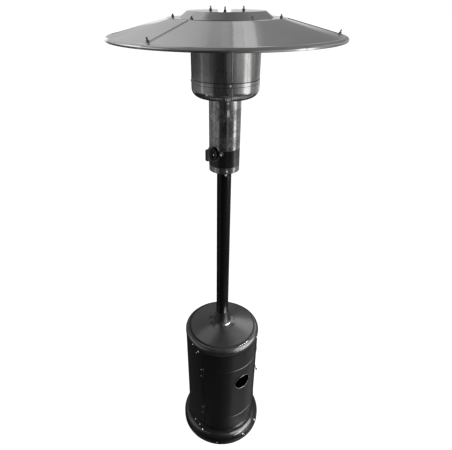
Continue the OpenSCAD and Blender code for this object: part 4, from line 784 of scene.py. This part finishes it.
def floorMaterial():
    material, tree, shader = newMaterial("paleFloor")
    shader.inputs["Base Color"].default_value = (*grey(stageLook["floorGrey"]), 1)
    shader.inputs["Roughness"].default_value = stageLook["floorRoughness"]
    shader.inputs["Specular IOR Level"].default_value = 0.0
    path = addNode(tree, "ShaderNodeLightPath")
    seen = times(tree, path.outputs["Is Camera Ray"], stageLook["floorWhite"])
    emit = addNode(tree, "ShaderNodeEmission", {"Color": grey(1), "Strength": seen})
    both = addNode(tree, "ShaderNodeAddShader", {0: shader.outputs[0], 1: emit.outputs[0]})
    link(tree, both.outputs[0], tree.nodes["Material Output"].inputs["Surface"])
    return material


floorMesh.materials.append(floorMaterial())

# What gloss sees of the studio, in bands from straight down to overhead. "from" and "full" are heights on
# the unit sphere where a band fades in; "around" gives brightness by degrees from the front, + towards +X, and
# "behind" the finer detail from 144 to 216 degrees, where the dish looks
studioLook = {
    "power": 4.0, "behindFrom": 144, "behindSpan": 72,
    "bands": [
        {"from": -3.0, "full": -2.0, "around": (
            (-180, .02), (-125, .03), (-95, .14), (-60, .18), (-38, .13), (-22, .05), (0, .05), (14, .12),
            (25, .22), (45, .34), (70, .34), (100, .18), (140, .03), (180, .02))},
        {"from": -0.87, "full": -0.835, "around": (
            (-180, .02), (-150, .02), (-126, .04), (-100, .05), (-81, .045), (-57, .03), (-29, .035), (-10, .05),
            (3, .07), (22, .10), (29, .15), (35, .25), (42, .42), (56, .38), (64, .34), (80, .26), (110, .28),
            (123, .24), (142, .07), (155, .02), (180, .02))},
        {"from": -0.68, "full": -0.60, "around": (
            (-180, .02), (-140, .02), (-120, .03), (-78, .02), (-74, .5), (-70, .5), (-66, .1), (-52, .12),
            (-34, .03), (-17, .03), (0, .07), (17, .12), (34, .07), (52, .07), (71, .12), (94, .07), (110, .15),
            (123, .3), (145, .03), (180, .02))},
        {"from": -0.42, "full": -0.36, "around": (
            (-180, .03), (-150, .03), (-140, .25), (-120, .1), (-106, .18), (-85, .27), (-66, .24), (-50, .22),
            (-43, .16), (-37, .03), (-5, .03), (9, .01), (14, .1), (23, .16), (30, .1), (38, .06), (48, .1),
            (56, .13), (62, .2), (70, .5), (76, 1.3), (86, 1.4), (91, .6), (97, .3), (112, .28), (130, .3),
            (150, .5), (158, .03), (180, .03))},
        {"from": -0.25, "full": -0.21, "around": (
            (-180, .03), (-160, .03), (-141, .16), (-116, .17), (-98, .2), (-90, .22), (-86, .5), (-82, .5),
            (-77, .22), (-59, .18), (-48, .12), (-42, .1), (-38, .03), (-17, .04), (2, .025), (8, .06), (22, .09),
            (32, .15), (42, .24), (53, .34), (62, .6), (68, 1.6), (74, 1.7), (75.5, .8), (77, 1.7), (88, 1.3),
            (94, .5), (100, .3), (124, .32), (158, .7), (166, .04), (180, .03))},
        {"from": -0.176, "full": -0.166, "around": (
            (-180, .03), (-160, .03), (-136, .07), (-113, .075), (-87, .12), (-84, .29), (-81, .14), (-70, .13),
            (-59, .11), (-50, .06), (-38, .06), (-28, .035), (-8, .02), (1, .04), (7, .1), (20, .13), (30, .27),
            (40, .36), (51, .4), (62, .6), (68, 1.4), (73, 1.7), (75, .9), (77, 1.5), (82, 1.4), (87, .7), (94, .4),
            (118, .21), (143, .34), (158, .5), (166, .04), (180, .03))},
        {"from": -0.10, "full": -0.07, "around": (
            (-180, .03), (-164, .03), (-161, 1.15), (-146, 1.15), (-136, .3), (-113, .075), (-97, .11), (-83, .14),
            (-50, .06), (-8, .02), (7, .1), (20, .13), (30, .27), (51, .4), (68, 1.2), (82, 1.2), (94, .4),
            (118, .21), (143, .34), (158, .5), (166, .04), (180, .03))},
        {"from": 0.0, "full": 0.02, "around": (
            (-180, .62), (-144, .53), (-120, .6), (-108, 1.2), (-90, 1.3), (-70, .9), (-50, .2), (0, .1), (60, .2),
            (120, .5), (144, .45), (180, .62)), "behind": (
            (144, .45), (160, .28), (163.2, .3), (164.7, .38), (166.3, .5), (169.4, .68), (175, .62), (179.4, .62),
            (179.6, 1.8), (180.9, 1.8), (181.1, .62), (188, .62), (188.6, .95), (191.8, .95), (192.6, .55),
            (198.5, .5), (200.5, 1.15), (214, 1.15), (216, .53))},
        {"from": 0.16, "full": 0.20, "around": (
            (-180, .37), (-144, .5), (-120, .6), (-108, 1.2), (-90, 1.3), (-70, .9), (-50, .2), (0, .1), (60, .2),
            (90, .4), (120, .4), (144, .24), (180, .37)), "behind": (
            (144, .24), (160, .22), (167, .25), (170, .26), (170.8, .265), (171.2, .28), (171.6, .3), (172.1, .33),
            (172.5, .35), (172.8, .53), (173.4, .57), (174.4, .58), (175.2, .6), (175.55, .58), (175.7, .43),
            (175.85, .55), (176.9, .53), (178.1, .52), (178.3, .33), (179.0, .33), (179.3, .36), (180.8, .37),
            (181.2, .345), (183.7, .345), (184.4, .365), (184.9, .40), (185.9, .41), (186.6, .44), (190, .49),
            (196, .56), (210, .58), (216, .5))},
        {"from": 0.565, "full": 0.60, "around": (
            (-180, .14), (-166, .14), (-160, .5), (-140, .5), (-100, .3), (-60, .2), (0, .1), (60, .2), (140, .24),
            (160, .22), (166, .12), (180, .14))},
        {"from": 0.80, "full": 0.88, "around": (
            (-180, .14), (-160, .18), (-140, .22), (-100, .22), (0, .1), (100, .15), (140, .2), (160, .16),
            (180, .14))},
    ],
}


# Brightness by degrees, as a colour ramp over a span of degrees from its start
def brightness(tree, position, pairs, start, span):
    ramp = addNode(tree, "ShaderNodeValToRGB")
    stops(ramp.color_ramp, [((angle - start) / span, value / studioLook["power"]) for angle, value in pairs])
    link(tree, position, ramp.inputs["Fac"])
    return ramp.outputs["Color"]


def background(tree, colour, strength=1.0):
    return addNode(tree, "ShaderNodeBackground", {"Color": colour, "Strength": strength}).outputs[0]


# Plain light for matt surfaces, a white backdrop for the camera, and the studio for everything glossy
def buildWorld():
    world = bpy.data.worlds.new("studio")
    scene.world = world
    world.use_nodes = True
    world.cycles.sampling_method = "NONE"
    tree = world.node_tree
    tree.nodes.clear()
    place = splitParts(tree, addNode(tree, "ShaderNodeTexCoord").outputs["Generated"])
    turn = mathNode(tree, "ARCTAN2", place["X"], times(tree, place["Y"], -1.0))
    around = plus(tree, times(tree, turn, 1 / (2 * math.pi)), 0.5)
    fromBack = mathNode(tree, "FRACT", plus(tree, around, 0.5))
    start, span = studioLook["behindFrom"], studioLook["behindSpan"]
    behind = mapRange(tree, fromBack, start / 360, (start + span) / 360)
    inside = mathNode(tree, "LESS_THAN", mathNode(tree, "ABSOLUTE", minus(tree, fromBack, 0.5)), span / 720)
    studio = None
    for band in studioLook["bands"]:
        light = brightness(tree, around, band["around"], -180, 360)
        if "behind" in band:
            light = mixColour(tree, inside, light, brightness(tree, behind, band["behind"], start, span))
        if studio is None:
            studio = light
        else:
            studio = mixColour(tree, mapRange(tree, place["Z"], band["from"], band["full"]), studio, light)
    path = addNode(tree, "ShaderNodeLightPath").outputs
    glossy = background(tree, studio, studioLook["power"])
    seen = mathNode(tree, "MAXIMUM", path["Is Glossy Ray"], path["Is Transmission Ray"])
    lit = mixShader(tree, seen, background(tree, grey(stageLook["plainLight"])), glossy)
    shown = mixShader(tree, path["Is Camera Ray"], lit, background(tree, grey(1)))
    link(tree, shown, addNode(tree, "ShaderNodeOutputWorld").inputs["Surface"])


buildWorld()


# An area lamp at a place, facing a target, whose light falls within a spread of degrees
def addLamp(name, place, target, size, watts, spread):
    data = bpy.data.lights.new(name, "AREA")
    data.shape = "RECTANGLE"
    data.size, data.size_y = size
    data.energy, data.spread = watts, math.radians(spread)
    lamp = bpy.data.objects.new(name, data)
    lamp.visible_glossy = False
    scene.collection.objects.link(lamp)
    lamp.rotation_mode = "QUATERNION"
    lamp.rotation_quaternion = (Vector(target) - Vector(place)).to_track_quat("-Z", "Y")
    lamp.location = place
    return lamp


# Name, place, target, size, watts and spread. Lamps light matt colour, while the studio gives the gloss
lamps = (
    ("keyLamp", (1.7, -2.3, 3.0), (0, 0, 0.7), (0.9, 0.9), 45, 180),
    ("fillLamp", (-2.6, -0.6, 3.4), (0, 0, 1.4), (1.6, 1.6), 30, 180),
)
for lamp in lamps:
    addLamp(*lamp)

# Cards show in gloss alone: four behind the post for the lid and its neck; one that slants down at each side, too low
# for the column to mirror and too high for the post; one above the lid, one before the door, one low at the base
cards = (
    ("cardRight", (0.44, 0.66, 1.42), (0.14, 0, 0.755), (0.5, 0.40), 1.0, 110),
    ("cardHighRight", (0.30, 0.38, 1.72), (0.10, -0.1, 0.755), (0.5, 0.4), 0.25, 110),
    ("cardLeft", (-0.46, 0.70, 1.42), (-0.14, 0, 0.755), (0.5, 0.5), 0.04, 110),
    ("cardHighLeft", (-0.28, 0.36, 1.70), (-0.08, -0.1, 0.755), (0.5, 0.36), 0.45, 110),
    ("cardSlant", (1.27, -0.46, 1.03), (0.90, -0.32, 0.10), (1.2, 1.4), 60, 180),
    ("cardSlantLeft", (-1.27, -0.46, 1.03), (-0.90, -0.32, 0.10), (1.2, 1.4), 6, 180),
    ("cardAbove", (0.676, -0.181, 1.62), (0.15, -0.10, 0.74), (0.8, 0.55), 6, 120),
    ("cardFront", (1.0, -0.75, 0.55), (0, 0, 0.29), (0.9, 0.45), 4.6, 70),
    ("cardFoot", (0.194, -0.2155, 0.031), (-0.166, 0.009, 0.296), (0.24, 0.045), 0.015, 44),
)
for card in cards:
    lamp = addLamp(*card)
    lamp.visible_glossy, lamp.visible_diffuse, lamp.visible_camera = True, False, False

# The photograph's camera: straight in front, high, turned a little to the left, with a shifted frame
cameraLook = {"distance": 1.5036, "height": 2.2178, "pitch": 32.246, "turn": 1.49, "focal": 389.37,
              "centre": (214.68, 239.25), "sensor": 36, "nearest": 0.05, "farthest": 300}
photoWide, photoTall = 452, 450
camera = bpy.data.objects.new("photoCamera", bpy.data.cameras.new("photoCamera"))
scene.collection.objects.link(camera)
scene.camera = camera
camera.data.sensor_width = cameraLook["sensor"]
camera.data.lens = cameraLook["focal"] / photoWide * cameraLook["sensor"]
camera.data.shift_x = (photoWide / 2 - cameraLook["centre"][0]) / photoWide
camera.data.shift_y = (cameraLook["centre"][1] - photoTall / 2) / photoWide
camera.data.clip_start, camera.data.clip_end = cameraLook["nearest"], cameraLook["farthest"]
camera.location = (0, -cameraLook["distance"], cameraLook["height"])
camera.rotation_mode = "XYZ"
tip = Matrix.Rotation(math.radians(90 - cameraLook["pitch"]), 4, "X")
camera.rotation_euler = (Matrix.Rotation(math.radians(cameraLook["turn"]), 4, "Z") @ tip).to_euler("XYZ")

scene.view_settings.view_transform = "Standard"

print("scene: done")
